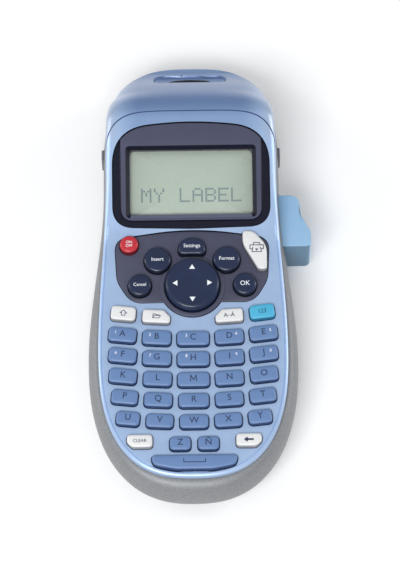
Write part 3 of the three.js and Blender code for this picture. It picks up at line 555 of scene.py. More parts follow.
FRONT_LINE = [(-110, 27.46, 0.077), (10, 36.7, 0.077), (24, 40.14, 0.292), (63.5, 51.68, 0.292),
              (67.5, 52.35, -0.2), (80.3, 46, -0.78), (86, 41.2, -0.93), (95, 31.4, -1.18), (106, 18.2, -1.2)]
RIM_LINE = [(-110, 24.9, 0.03), (-35, 28.6, 0.05), (0, 30, 0.02), (40, 29.8, -0.06), (70, 26.6, -0.14),
            (106, 21.4, -0.14)]
BELT_LINE = [(-110, 15.4, 0.01), (-35, 17.5, 0.04), (20, 19.5, 0.03), (60, 21, 0), (106, 19.4, -0.05)]
BACK_LINE = [(-110, 0, 0), (18, 0, 0), (34, 1.76, HEAD_SLOPE), (106, 17.6, HEAD_SLOPE)]
CROWN = [(-110, 12, 0), (30, 14, 0), (60, 14, 0), (84, 3.4, 0), (106, 3, 0)]


def through(knots):
    """A smooth curve through knots of (position, value, slope)."""
    def value(at):
        last = len(knots) - 2
        i = next((n for n in range(last) if at <= knots[n + 1][0]), last)
        (a, va, sa), (b, vb, sb) = knots[i], knots[i + 1]
        span = b - a
        t = min(1, max(0, (at - a) / span))
        s = t * t * (3 - 2 * t)
        return va * (1 - s) + vb * s + span * t * (1 - t) * (sa * (1 - t) - sb * t)
    return value


front_line, rim_line, belt_line, back_line, crown = map(through,
                                                        (FRONT_LINE, RIM_LINE, BELT_LINE, BACK_LINE, CROWN))


def mix(a, b, t):
    return a + (b - a) * t


def half_width(outline, y, inset=0):
    """Half the width of an outline at y, drawn in by inset."""
    grip, neck = outline["grip"] - inset, outline["neck"] - inset
    if y < TAIL_START:
        t = min(1, (TAIL_START - y) / (TAIL_START - (outline["tail"] + inset)))
        return grip * (1 - t ** outline["tail_power"]) ** (1 / outline["tail_power"])
    if y > HEAD_START:
        t = min(1, (y - HEAD_START) / (outline["head"] - inset - HEAD_START))
        return neck * (1 - t ** outline["head_power"]) ** (1 / outline["head_power"])
    t = min(1, max(0, (y - GRIP_END) / (NECK_START - GRIP_END)))
    return mix(grip, neck, t * t * (3 - 2 * t))


SIDE_STEPS = 180


def outline_ring(outline, inset=0, steps=SIDE_STEPS):
    """The outline as (x, y) points, anticlockwise from the tail's end."""
    low, high = outline["tail"] + inset, outline["head"] - inset
    side = []
    for i in range(steps + 1):
        y = (low + high) / 2 - (high - low) / 2 * math.cos(math.pi * i / steps)
        side.append((0 if i in (0, steps) else half_width(outline, y, inset), y))
    return side + [(-x, y) for x, y in side[-2:0:-1]]


def on_spine(y):
    return min(SPINE[1], max(SPINE[0], y))


print("rim ring:", len(outline_ring(RIM)), "points")


# %% [markdown]
# ## Front casing
# The front is a block whose rings shrink from the rim towards a line down the middle, while their height
# climbs steeply at first and then flattens into the face. How steeply is one number along the body: square
# shoulders beside the keys and a round dome at the head. A shallow groove just inside the rim leaves the
# bright bead that frames the keys.

# %% Front block
BEAD = dict(reach=0.962, half=0.009, depth=0.42, from_y=22, to_y=10)
FRONT_REACHES = [0.9995, 0.998, 0.995, 0.99, 0.982, 0.976, 0.971, 0.9665, 0.962, 0.9575, 0.953, 0.948, 0.94,
                 0.92, 0.89, 0.85, 0.8, 0.74, 0.67, 0.59, 0.51, 0.44, 0.38, 0.33, 0.29, 0.25, 0.22, 0.19, 0.165,
                 0.14, 0.115, 0.09, 0.065, 0.04, 0.02]


def shoulder(reach, power):
    return (1 - reach ** power) ** (1 / power)


def bead_dip(reach, y):
    fade = min(1, max(0, (BEAD["from_y"] - y) / (BEAD["from_y"] - BEAD["to_y"])))
    across = max(0, 1 - abs(reach - BEAD["reach"]) / BEAD["half"])
    return BEAD["depth"] * fade * across * across * (3 - 2 * across)


def front_slope(y):
    return (front_line(y + 0.2) - front_line(y - 0.2)) / 0.4


def front_block(name, material, inset=0, deeper=0, reaches=FRONT_REACHES, steps=SIDE_STEPS):
    rim = outline_ring(RIM, inset, steps)

    def low(y):
        return rim_line(y) + CASING_GAP / 2 - deeper

    def face(y):
        return front_line(y) - inset * math.hypot(1, front_slope(y))

    rings = [[(0, on_spine(y), low(on_spine(y))) for x, y in rim], [(x, y, low(y)) for x, y in rim]]
    for reach in reaches:
        ring = []
        for x, y in rim:
            across, forward = x * reach, mix(on_spine(y), y, reach)
            top = max(face(forward) - (0 if inset else bead_dip(reach, forward)), low(y))
            ring.append((across, forward, mix(low(y), top, shoulder(reach, crown(forward)))))
        rings.append(ring)
    rings.append([(0, on_spine(y), face(on_spine(y))) for x, y in rim])
    return loft(name, rings, material, closed_ends=True)


def front_height(x, y):
    """The front's height at a point, found by searching for the ring that passes through it."""
    low, high = 0.0, 1.0
    for _ in range(30):
        reach = (low + high) / 2
        rim_y = on_spine(y) + (y - on_spine(y)) / reach if reach else 1e9
        inside = abs(x) < half_width(RIM, rim_y) * reach if RIM["tail"] < rim_y < RIM["head"] else False
        low, high = (low, reach) if inside else (reach, high)
    rim_y = on_spine(y) + (y - on_spine(y)) / high
    floor = rim_line(rim_y) + CASING_GAP / 2
    return mix(floor, front_line(y), shoulder(min(high, 1), crown(y)))


# %% [markdown]
# Every hole is a closed tool: an outline pulled through, in the tilted frame of the keys or of the display.
# Outlines have few points and rounded corners, worked out by one function.

# %% Outlines, frames and tools
KEY_FACE = dict(y=-9.95, z=35.17, slope=0.077)
DISPLAY_FACE = dict(y=39.6, z=44.7, slope=0.292)
HEAD_BACK = dict(y=26, z=0, slope=HEAD_SLOPE)
EXIT = dict(y=96.6, z=30.3, slope=-1.19)


def frame_on(face):
    """The frame of a tilted plane: millimetres there to millimetres on the body."""
    return Matrix.Translation((0, face["y"], face["z"])) @ Matrix.Rotation(math.atan(face["slope"]), 4, "X")


KEYS, DISPLAY, HEAD, DISH = map(frame_on, (KEY_FACE, DISPLAY_FACE, HEAD_BACK, EXIT))
BODY = Matrix.Identity(4)


def moved(made, frame_matrix):
    """Moves a piece's mesh, drawn in a tilted frame's millimetres, onto the body."""
    scaled = Matrix.Translation(frame_matrix.translation * MM) @ frame_matrix.to_3x3().to_4x4()
    made.data.transform(scaled)
    return made


def rounded(corners, steps=8):
    """Corners of (x, y, radius), anticlockwise, joined by soft curves."""
    points = []
    for i, (x, y, radius) in enumerate(corners):
        here = Vector((x, y))
        back = Vector(corners[i - 1][:2]) - here
        ahead = Vector(corners[(i + 1) % len(corners)][:2]) - here
        if not radius:
            points.append(here)
            continue
        half = back.angle(ahead) / 2
        run = min(0.49 * min(back.length, ahead.length), radius / math.tan(half))
        start, end = here + back.normalized() * run, here + ahead.normalized() * run
        for n in range(steps + 1):
            t = n / steps
            points.append(start * (1 - t) ** 2 + here * 2 * t * (1 - t) + end * t ** 2)
    return points


def rectangle(w, h, radius, x=0, y=0, steps=8):
    return rounded([(x + w / 2, y + h / 2, radius), (x - w / 2, y + h / 2, radius),
                    (x - w / 2, y - h / 2, radius), (x + w / 2, y - h / 2, radius)], steps)


def circle(radius, steps=64, x=0, y=0):
    return [Vector((x + radius * math.cos(2 * math.pi * i / steps), y
                    + radius * math.sin(2 * math.pi * i / steps)))
            for i in range(steps)]


def grown(points, gap):
    """An outline moved outwards by gap, or inwards if gap is negative."""
    made = []
    for i, here in enumerate(points):
        a = (here - points[i - 1]).normalized()
        b = (points[(i + 1) % len(points)] - here).normalized()
        out = Vector((a.y + b.y, -a.x - b.x)).normalized()
        made.append(here + out * gap / max(0.5, out.x * a.y - out.y * a.x))
    return made


def turned(points, turn=0, x=0, y=0):
    rotation = Matrix.Rotation(turn, 2)
    return [rotation @ p + Vector((x, y)) for p in points]


def profile(name, outline, steps, material, frame_matrix=BODY, sharp=35):
    """A solid from an outline and steps of (height, growth), lowest first."""
    rings = [[(p.x, p.y, z) for p in grown(outline, gap)] for z, gap in steps]
    return moved(loft(name, rings, material, sharp), frame_matrix)


def prism(name, outline, low, high, material=None, frame_matrix=BODY):
    return profile(name, outline, [(low, 0), (high, 0)], material or BLACK_AND_PAINTED_SHADE, frame_matrix)


def box(name, x0, x1, y0, y1, z0, z1, material=None, frame_matrix=BODY, edge=0.0):
    """A block with its upper edges broken by `edge`."""
    outline = rectangle(x1 - x0, y1 - y0, edge, (x0 + x1) / 2, (y0 + y1) / 2, 3)
    steps = [(z0, 0), (z1 - edge / 2, 0), (z1, -edge / 2)] if edge else [(z0, 0), (z1, 0)]
    return profile(name, outline, steps, material or BLACK_AND_PAINTED_SHADE, frame_matrix)


def side_prism(name, points, x0, x1, material=None):
    """A side view outline of (y, z) points, pulled across from x0 to x1."""
    rings = [[(x, y, z) for y, z in points] for x in (x0, x1)]
    return loft(name, rings, material or BLACK_AND_PAINTED_SHADE)


def tube(name, path, radius, material, sides=10, sharp=60):
    """A round rod along points, closed at both ends."""
    path = [Vector(p) for p in path]
    normal = Vector((0, 0, 1))
    rings = []
    for i, here in enumerate(path):
        along = (path[min(i + 1, len(path) - 1)] - path[max(i - 1, 0)]).normalized()
        side = along.cross(normal).normalized()
        normal = side.cross(along)
        rings.append([tuple(here + (side * math.cos(a) + normal * math.sin(a)) * radius)
                      for a in (2 * math.pi * k / sides for k in range(sides))])
    return loft(name, rings, material, sharp)


# %% [markdown]
# ## Where the keys are
# The letter keys stand in five rows that bow towards the tail, so a key's place follows from its row and
# column. The other keys are listed with their outlines. Every key later gets a body in its own finish and a
# legend.

# %% Key table
LETTER_ROWS = [(-34.3, (0, 15.6, 30.3), (14, 12.5, 12.2), 7), (-43.6, (0, 15.6, 30.3), (14, 12.5, 12.2), 7),
               (-52.9, (0, 15.4, 30.2), (13.9, 12.4, 12.1), 7), (-62.3, (0, 15.2, 29.5), (13.1, 12.2, 11.5),
                                                                 6.8),
               (-71.7, (0, 14.6, 28.15), (12.4, 11.8, 10.2), 6.6)]
ROW_BOW = 0.00218
KEY_CORNER = 2.2
KEY_GAP = 0.35
NAV_Y = -9.95


def row_turn(x):
    return math.atan(1.7 * ROW_BOW * x)


def mirrored(corners):
    return [(-x, y, r) for x, y, r in reversed(corners)]


def key(name, x, y, outline, height, finish, turn=0.0, **legend):
    stretch = math.hypot(1, KEY_FACE["slope"])
    place = dict(turn=turn, x=x, y=(y - KEY_FACE["y"]) * stretch)
    return dict(name=name, outline=outline, height=height, finish=finish, place=place, y=y, **legend)


def letter_keys():
    made = []
    for r, (y, columns, widths, height) in enumerate(LETTER_ROWS):
        for c in range(-2, 3):
            letter = "ABCDEFGHIJKLMNOPQRSTUVWXY"[r * 5 + c + 2]
            x = math.copysign(columns[abs(c)], c) if c else 0.0
            digit = "1234567890"[r * 5 + c + 2] if r < 2 else ""
            outline = rectangle(widths[abs(c)], height, KEY_CORNER)
            made.append(key(f"key_{letter.lower()}", x, y + ROW_BOW * x * x, outline, 2.2, LETTER_KEY,
                            row_turn(x),
                            text=letter, digit=digit, digit_side=-1 if c <= 0 else 1))
    return made


SLANTED = [(6.1, -3.2, 1.8), (6.1, 0.2, 1.6), (3.2, 3.2, 2.4), (-6.1, 3.2, 1.8), (-6.1, -3.2, 1.8)]
CLIPPED = [(5.5, 3, 1.8), (-5.5, 3, 1.8), (-5.5, -0.6, 2), (-3, -3, 2), (5.5, -3, 1.8)]
LEAF = [(5.3, -9.2, 2.4), (5.4, 2.4, 9), (-0.4, 9.2, 5), (-5.2, 9.2, 1.6), (-5.2, 3, 9), (1.6, -9.2, 2.4)]
DOME = [(6.3, -4, 3.2), (5.6, 2.4, 4), (0, 4.6, 12), (-5.6, 2.4, 4), (-6.3, -4, 3.2), (0, -3.9, 20)]
BAR = [(17.6, -1.6, 4), (18.7, 3.2, 2.6), (-18.7, 3.2, 2.6), (-17.6, -1.6, 4), (-8, -3.5, 20), (8, -3.5, 20)]


def top_key(name, side, y, outline, finish, **legend):
    x = side * (29.9 if abs(side) == 1 else 7.85)
    return key(name, x, y, outline, 2.4, finish, row_turn(x), **legend)


OTHER_KEYS = [
    key("power_key", -27.3, 9.1, circle(4.1, 40), 2.6, RED_KEY, icon="power"),
    key("settings_key", 0, 7.7, rounded(DOME), 3, NAVY_KEY, text="Settings", size=2.35),
    key("insert_key", -15, 1.65, circle(5.9, 48), 3, NAVY_KEY, text="Insert", size=2.3),
    key("format_key", 15, 1.65, circle(5.9, 48), 3, NAVY_KEY, text="Format", size=2.3),
    key("print_key", 27.2, 5.7, rounded(LEAF), 2.6, WHITE_KEY, icon="printer"),
    key("cancel_key", -22.75, -9.85, circle(5.1, 44), 2.8, NAVY_KEY, text="Cancel", size=2.05),
    key("ok_key", 22.75, -9.85, circle(5.1, 44), 2.8, NAVY_KEY, text="OK", size=2.9),
    top_key("capitals_key", -1, -22.6, rectangle(10.9, 6.8, KEY_CORNER), WHITE_KEY, icon="house"),
    top_key("symbols_key", -2, -24.2, rounded(SLANTED), WHITE_KEY, icon="folder"),
    top_key("accents_key", 2, -24.2, rounded(mirrored(SLANTED)), WHITE_KEY, text="A–Á", size=2.6),
    top_key("numbers_key", 1, -22.6, rectangle(10.9, 6.8, KEY_CORNER), TEAL_KEY, text="123", size=2.6),
    key("clear_key", -23.2, -80.2, rounded(CLIPPED), 2.4, WHITE_KEY, text="CLEAR", size=2.0),
    key("key_z", -6, -81.4, rectangle(9.1, 6.4, KEY_CORNER), 2.2, LETTER_KEY, text="Z"),
    key("key_n_tilde", 6, -81.4, rectangle(9.1, 6.4, KEY_CORNER), 2.2, LETTER_KEY, text="Ñ"),
    key("backspace_key", 23.2, -80.2, rounded(mirrored(CLIPPED)), 2.4, WHITE_KEY, icon="backspace"),
    key("space_key", 0, -89.5, rounded(BAR), 2.2, LETTER_KEY, icon="space"),
]
ALL_KEYS = OTHER_KEYS + letter_keys()
print("keys:", len(ALL_KEYS))


# %% Outlines of the panel, the bezel and the screen
BEZEL = dict(half=34.2, top=23, bottom=-23, top_corner=18, bottom_corner=9.5, arch=0.9)
SCREEN = dict(half=28.6, top=13, bottom=-19.1, bevel=1.6, corner=2)
COLLAR_RADIUS = 14.2
PANEL_FOOT = -17.2


def panel_outline():
    start = math.asin((PANEL_FOOT - NAV_Y) / COLLAR_RADIUS)
    side = COLLAR_RADIUS * math.cos(start)
    corners = [(side, PANEL_FOOT, 0), (26.5, PANEL_FOOT - 0.2, 9), (32.6, -7.2, 12), (33.6, 12.2, 6.5),
               (0, 16.8, 150)]
    mirror = [(-x, y, r) for x, y, r in reversed(corners[:-1])]
    upper = rounded([(x, y - KEY_FACE["y"], r) for x, y, r in corners + mirror], 10)
    turns = [mix(math.pi - start, 2 * math.pi + start, i / 36) for i in range(1, 36)]
    return upper + [Vector((COLLAR_RADIUS * math.cos(t), COLLAR_RADIUS * math.sin(t))) for t in turns]


def bezel_outline():
    w, top, bottom, arch = BEZEL["half"], BEZEL["top"], BEZEL["bottom"], BEZEL["arch"]
    return rounded([(0, bottom - arch, 150), (w, bottom, BEZEL["bottom_corner"]),
                    (w, top - 2.4, BEZEL["top_corner"]),
                    (0, top + arch, 150), (-w, top - 2.4, BEZEL["top_corner"]), (-w, bottom,
                                                                                 BEZEL["bottom_corner"])], 14)


def screen_outline(grow, corner=None):
    middle = (SCREEN["top"] + SCREEN["bottom"]) / 2
    return rectangle(2 * (SCREEN["half"] + grow), SCREEN["top"] - SCREEN["bottom"] + 2 * grow,
                     corner or SCREEN["corner"], 0, middle, 6)


# %% [markdown]
# Now the front casing itself: the outer block less a thinner inner one, then the openings, most of whose
# walls take a dark painted shade. Last comes the seam across the forehead, a fine groove cut by a rod that
# follows the skin, its walls painted a darker blue as shadow.

# %% Front casing
front = front_block("front_casing", BLUE)
inner = front_block("inner", BLUE, WALL, 3, [0.99, 0.97, 0.94, 0.88, 0.75, 0.5, 0.25], 60)

# The key holes' walls take the dark painted shade.
holes = [prism("hole", grown(turned(k["outline"], **k["place"]), KEY_GAP), -6, 3, KEY_GAP_PAINTED_SHADE, KEYS)
         for k in ALL_KEYS]
# The panel's and the bezel's openings get black walls: a painted shadow in the gap.
panel_hole = prism("panel_hole", grown(panel_outline(), 0.3), -5, 3, frame_matrix=KEYS)
bezel_hole = prism("bezel_hole", grown(bezel_outline(), KEY_GAP), -6, 4, frame_matrix=DISPLAY)
backing = prism("backing", rectangle(36.2, 18, 7, steps=10), -4.1, 0, BLUE, DISH)
cut(backing, [front_block("within", BLUE, 0.3, 2.5, steps=90)], "INTERSECT")
dish = profile("dish", rectangle(33, 14.8, 5.5, steps=10),
               [(-2.5, -1.0), (-2.35, -0.5), (-2.0, -0.2), (12, 0)], BLUE, DISH)
throat = rounded([(-10.8, -6, 0.8), (10.8, -6, 0.8), (8, 0, 5), (0, 2.2, 40), (-8, 0, 5)], 8)
# The tape slot's walls are black: painted shade.
slot_tool = prism("slot_tool", throat, 0, 25, BLACK_AND_PAINTED_SHADE)
slot_tool.data.transform(Matrix.Translation(Vector((0, 55, 12.4)) * MM)
                         @ Matrix.Rotation(-math.pi / 2, 4, "X"))
moved(slot_tool, HEAD)


SEAM_ARCH = dict(half=37.2, foot=51.5, rise=15.6, squareness=0.4, radius=0.3)


def seam_path(steps=120):
    """The seam's arch across the forehead: a squared half ellipse laid on the skin."""
    path = []
    for i in range(steps + 1):
        turn = math.pi * i / steps
        x = SEAM_ARCH["half"] * math.copysign(abs(math.cos(turn)) ** SEAM_ARCH["squareness"], math.cos(turn))
        y = SEAM_ARCH["foot"] + SEAM_ARCH["rise"] * math.sin(turn)
        path.append((x, y, front_height(x, y)))
    return path


cut(front, [inner])
cut(front, [backing], "UNION")
cut(front, [panel_hole, bezel_hole, dish, slot_tool])
cut(front, [joined("holes", [h for k, h in zip(ALL_KEYS, holes) if k["y"] < PANEL_FOOT - 1])])
cut(front, [joined("panel_key_holes", [h for k, h in zip(ALL_KEYS, holes) if k["y"] >= PANEL_FOOT - 1])])
# The seam's walls take the rod's darker blue: painted shadow.
cut(front, [tube("seam", seam_path(), SEAM_ARCH["radius"], SEAM_PAINTED_SHADOW, 8)])
tidy(front, 32, merge=4e-6)
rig.replaces(front, "front_shell")
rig.slot(front, "blue_shell")
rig.ride(front, "case")
print("front casing faces:", len(front.data.polygons))


# %% [markdown]
# ## Rear casing and doors
# The grey block runs from the flat sole round a bilge to the belt, and over a shoulder to the rim. Its skin
# is what is left of it after a smaller block is taken out, and the two doors are pieces of that same skin,
# set in by 0.4 mm, so their curves run through.

# %% Rear block
def rear_block(name, material, inset=0, taller=0, steps=SIDE_STEPS, turns=9):
    rim = outline_ring(RIM, inset, steps)
    belt = outline_ring(BELT, inset, steps)
    sole = outline_ring(SOLE, inset / 2, steps)

    def bottom(y):
        return back_line(y) + inset

    def top(y):
        return rim_line(y) - CASING_GAP / 2 + taller

    rings = [[(0, on_spine(y), bottom(on_spine(y))) for x, y in sole], [(x, y, bottom(y)) for x, y in sole]]
    for k in range(turns, -1, -1):
        a = k / (turns + 1) * math.pi / 2
        rings.append([(mix(s[0], b[0], math.cos(a)), mix(s[1], b[1], math.cos(a)),
                       mix(belt_line(b[1]), bottom(s[1]), math.sin(a)))
                      for s, b in zip(sole, belt)])
    for k in range(1, turns):
        a = k / turns * math.pi / 2
        rings.append([(mix(r[0], b[0], math.cos(a)), mix(r[1], b[1], math.cos(a)),
                       mix(belt_line(b[1]), rim_line(r[1]),
                           math.sin(a)) - CASING_GAP / 2 * k / turns) for r, b in zip(rim, belt)])
    rings += [[(x, y, top(y)) for x, y in rim], [(0, on_spine(y), top(on_spine(y))) for x, y in rim]]
    return loft(name, rings, material, closed_ends=True)


def skin(name, material, sink=0.0, thick=WALL):
    made = rear_block(name, material, sink)
    return cut(made, [rear_block("core", material, sink + thick, 3, 60, 5)])


# %% Door outlines
BATTERY_DOOR = dict(half=29.5, tail=-81, head=-18.5, corner=9)
CASSETTE_DOOR = dict(hinge=21, ear_at=60, ear_half=3.2, ear_top=24.4)
BUTTON = dict(tail=12, head=37.3, bottom=7, top=28, reach=52.4)
DOOR_GAP = 0.4


def cassette_door_side(gap):
    hinge, ear, half, top = (CASSETTE_DOOR[k] for k in ("hinge", "ear_at", "ear_half", "ear_top"))
    far, strip = BELT["head"] + 4, BUTTON["head"] + 3
    line = [(far, back_line(far) + 1.6 + gap), (100, back_line(100) + 2.4 + gap),
            (86, back_line(86) + 7 + gap),
            (ear + half + 5, 18.5 + gap), (ear + half + gap, top - 3.5), (ear + half + gap, top + gap),
            (ear - half - gap, top + gap), (ear - half - gap, top - 6), (strip, back_line(strip) + 2.6 + gap),
            (hinge - gap, 2.8 + gap), (hinge - gap, -4), (far, -4)]
    return line[::-1]


def battery_door_outline(gap):
    w, tail, head, corner = (BATTERY_DOOR[k] for k in ("half", "tail", "head", "corner"))
    corners = [(w, head, 3), (-w, head, 3), (-w, tail + 18, corner), (-18, tail, corner), (18, tail, corner),
               (w, tail + 18, corner)]
    return grown(rounded(corners, 8), gap)


def cassette_tool(gap):
    return side_prism("cassette_tool", cassette_door_side(gap), -60, 60, GREY)


def battery_tool(gap):
    return prism("battery_tool", battery_door_outline(gap), -3, 9, GREY)


# %% [markdown]
# The rear casing also carries the two bays. Their plain walls are wanted as they are in the frame, so they
# are cut from boxes with the same sizes and joined to the skin.

# %% Rear casing
rear = skin("rear_casing", GREY)
cut(rear, [cassette_tool(DOOR_GAP), battery_tool(DOOR_GAP)])
# The button opening's walls are black: painted shade.
cut(rear, [box("button_opening", 30, 60, BUTTON["tail"] - 0.4, BUTTON["head"] + 0.4, BUTTON["bottom"] - 0.4,
               BUTTON["top"] + 0.4)])

BATTERY_BAY = dict(half=29.8, tail=-77.4, head=-22.1, wall=1.4)
bay_out = BATTERY_BAY["half"] + BATTERY_BAY["wall"]
battery_walls = box("battery_walls", -bay_out, bay_out, BATTERY_BAY["tail"] - BATTERY_BAY["wall"],
                    BATTERY_BAY["head"] + BATTERY_BAY["wall"], 1.1, 19.05, BLACK_AND_PAINTED_SHADE)
cut(battery_walls, [rear_block("trim", GREY, WALL * 0.6, 1, 60, 5)], "INTERSECT")
cells_space = box("cells_space", -BATTERY_BAY["half"], BATTERY_BAY["half"], BATTERY_BAY["tail"],
                  BATTERY_BAY["head"], 2.3, 17.65)
cut(battery_walls, [cells_space, battery_tool(DOOR_GAP)])

bay = box("bay", -28.1, 28.1, -6.1, 52.1, 2.5, 22.7, BLACK_AND_PAINTED_SHADE, HEAD)
cut(bay, [box("bay_floor", -28.1, 28.1, -6.1, 60.6, 21.3, 22.7, BLACK_AND_PAINTED_SHADE, HEAD)], "UNION")
cut(bay, [box("bay_rail", -36.1, 33.1, 20, 23, 21.3, 22.7, BLACK_AND_PAINTED_SHADE, HEAD)], "UNION")
cut(bay, [box("bay_space", -26.7, 26.7, -4.7, 50.7, 0, 21.3, BLACK_AND_PAINTED_SHADE, HEAD)])
cut(bay, [box("tape_way", -9, 9, 49, 53.1, 0, 21.3, BLACK_AND_PAINTED_SHADE, HEAD)])
cut(bay, [prism("shaft_hole", circle(1.8, 24, 3.9, 54), 20, 24, BLACK_AND_PAINTED_SHADE, HEAD)])
cut(bay, [rear_block("trim", GREY, WALL * 0.6, 6, 60, 5)], "INTERSECT")
door_room = cut(cassette_tool(DOOR_GAP), [rear_block("door_core", GREY, 2.5, 30, 60, 5)])
cut(bay, [door_room])
cut(rear, [battery_walls, bay], "UNION")
tidy(rear, 32)
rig.replaces(rear, "rear_shell")
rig.slot(rear, "grey_shell")
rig.ride(rear, "case")
print("rear casing faces:", len(rear.data.polygons))


# %% [markdown]
# The battery door has a thumb grip of five fine ribs in a shallow dish. Ribs repeat, so Geometry Nodes set
# them out: one bar, instanced along a line, with its number, pitch and sizes as inputs. The same tree ribs
# the finger tabs of the cassette door.

# %% Ribs by Geometry Nodes
def new_tree(name, inputs):
    tree = bpy.data.node_groups.new(name, "GeometryNodeTree")
    tree.interface.new_socket("Geometry", in_out="INPUT", socket_type="NodeSocketGeometry")
    tree.interface.new_socket("Geometry", in_out="OUTPUT", socket_type="NodeSocketGeometry")
    for label, kind in inputs.items():
        tree.interface.new_socket(label, in_out="INPUT", socket_type="NodeSocket" + kind)
    return tree, tree.nodes.new("NodeGroupInput"), tree.nodes.new("NodeGroupOutput")


def add_node(tree, kind, values=None, **settings):
    made = tree.nodes.new(kind)
    for key_name, value in settings.items():
        setattr(made, key_name, value)
    for key_name, value in (values or {}).items():
        if isinstance(value, bpy.types.NodeSocket):
            tree.links.new(value, made.inputs[key_name])
        else:
            made.inputs[key_name].default_value = value
    return made


def rib_tree():
    tree, given, out = new_tree("ribs", {"Count": "Int", "Pitch": "Vector", "Rib Size": "Vector",
                                         "Material": "Material"})
    line = add_node(tree, "GeometryNodeMeshLine",
                    {"Count": given.outputs["Count"], "Offset": given.outputs["Pitch"]}, mode="OFFSET")
    bar = add_node(tree, "GeometryNodeMeshCube", {"Size": given.outputs["Rib Size"]})
    bars = add_node(tree, "GeometryNodeInstanceOnPoints",
                    {"Points": line.outputs[0], "Instance": bar.outputs[0]})
    real = add_node(tree, "GeometryNodeRealizeInstances", {"Geometry": bars.outputs[0]})
    painted = add_node(tree, "GeometryNodeSetMaterial",
                       {"Geometry": real.outputs[0], "Material": given.outputs["Material"]})
    tree.links.new(painted.outputs[0], out.inputs[0])
    return tree


RIBS = rib_tree()


def grow_tree(name, tree, **inputs):
    """Runs a tree on an empty mesh and keeps the result as a plain mesh."""
    made = bpy.data.objects.new(name, bpy.data.meshes.new(name))
    bpy.context.collection.objects.link(made)
    modifier = made.modifiers.new(name, "NODES")
    modifier.node_group = tree
    for item in tree.interface.items_tree:
        label = item.name.replace(" ", "_").lower()
        if item.in_out == "INPUT" and label in inputs:
            modifier[item.identifier] = inputs[label]
    return final_mesh(made)


def ribs(name, first, pitch, size, count, material, bevel=0.18, frame_matrix=BODY):
    """A row of bars with rounded edges, the first one's middle at `first`, in millimetres."""
    made = grow_tree(name, RIBS, count=count, pitch=Vector(pitch) * MM, rib_size=Vector(size) * MM,
                     material=material)
    made.data.transform(Matrix.Translation(Vector(first) * MM))
    edge = made.modifiers.new("edge", "BEVEL")
    edge.width, edge.segments = bevel * MM, 2
    final_mesh(made)
    made.data.shade_smooth()
    made.data.set_sharp_from_angle(angle=math.radians(50))
    return moved(made, frame_matrix)


# %% Battery door
battery_door = cut(skin("battery_door_skin", GREY, 0.4, 1.8), [battery_tool(0)], "INTERSECT")
thumb_dish = profile("thumb_dish", rectangle(17, 9, 4, 0, -26), [(-1, 0), (0.4, 0), (1.0, -1.2)], GREY)
cut(battery_door, [thumb_dish])
tidy(battery_door, 32)
battery_door = joined("battery_door_piece", [battery_door, ribs("thumb_ribs", (0, -29, 0.85), (0, 1.5, 0),
                                                                (11, 0.6, 0.7), 5, GREY)])
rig.replaces(battery_door, "battery_door")
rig.slot(battery_door, "grey_shell")
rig.ride(battery_door, "battery_door")

# %% Cassette door
cassette_door = cut(skin("cassette_door_skin", GREY, 0.4, 1.8), [cassette_tool(0)], "INTERSECT")
tabs = []
for side in (-1, 1):
    ear = CASSETTE_DOOR
    inner_x, outer_x = BELT["neck"] - 2.2, BELT["neck"] + 0.9
    tab = box("tab", *sorted((side * inner_x, side * outer_x)), ear["ear_at"] - ear["ear_half"] + 0.3,
              ear["ear_at"] + ear["ear_half"] - 0.3, ear["ear_top"] - 9, ear["ear_top"] - 0.2, TAB_GREY, edge=0.7)
    tabs.append(tab)
    tabs.append(ribs("tab_ribs", (side * (outer_x - 0.25), ear["ear_at"] - 1.8, ear["ear_top"] - 4.6),
                     (0, 0.9, 0),
                     (0.5, 0.4, 6.5), 5, TAB_GREY, 0.1))
tidy(cassette_door, 32)
cassette_door = joined("cassette_door_piece", [cassette_door] + tabs)
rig.replaces(cassette_door, "cassette_door")
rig.slot(cassette_door, "grey_shell")
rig.ride(cassette_door, "cassette_door")
print("doors:", len(battery_door.data.polygons), len(cassette_door.data.polygons), "faces")

# %% [markdown]
# ## Legends
# Letters and words are text curves given a hair of thickness and turned to meshes. Icons are a few strokes
# and filled outlines. Each legend lies on its key and rides with it as a piece of its own, so a key can be
# repainted without touching what is printed on it.

# %% Text and strokes
LEGEND_RISE = 0.03
LEGEND_DEPTH = 0.16


def flat_text(name, words, size, material, spacing=1.0):
    """Words as a thin solid around the origin, in millimetres, its back on z = 0."""
    curve = bpy.data.curves.new(name, "FONT")
    curve.body = words
    curve.size = size
    curve.align_x = curve.align_y = "CENTER"
    curve.space_line = 0.95
    curve.space_character = spacing
    curve.extrude = LEGEND_DEPTH / 2
    curve.offset = 0.004 * size
    curve.resolution_u = 3
    written = bpy.data.objects.new(name, curve)
    bpy.context.collection.objects.link(written)
    mesh = bpy.data.meshes.new_from_object(written.evaluated_get(bpy.context.evaluated_depsgraph_get()))
    bpy.data.objects.remove(written)
    mesh.transform(Matrix.Scale(MM, 4) @ Matrix.Translation((0, 0, LEGEND_DEPTH / 2)))
    mesh.materials.clear()
    mesh.materials.append(material)
    made = bpy.data.objects.new(name, mesh)
    bpy.context.collection.objects.link(made)
    return tidy(made, 40)


def filled(name, points, material):
    return profile(name, [Vector(p) for p in points], [(0, 0), (LEGEND_DEPTH, 0)], material)


def stroke(name, points, width, material, closed=False):
    """A line of even width through points, as one bar for each stretch."""
    points = [Vector(p) for p in points]
    bars = []
    for a, b in zip(points, points[1:] + points[:1] if closed else points[1:]):
        along = (b - a).normalized() * width / 2
        side = Vector((-along.y, along.x))
        bars.append(filled(name, [a - along - side, b + along - side, b + along + side, a - along + side],
                           material))
    return bars


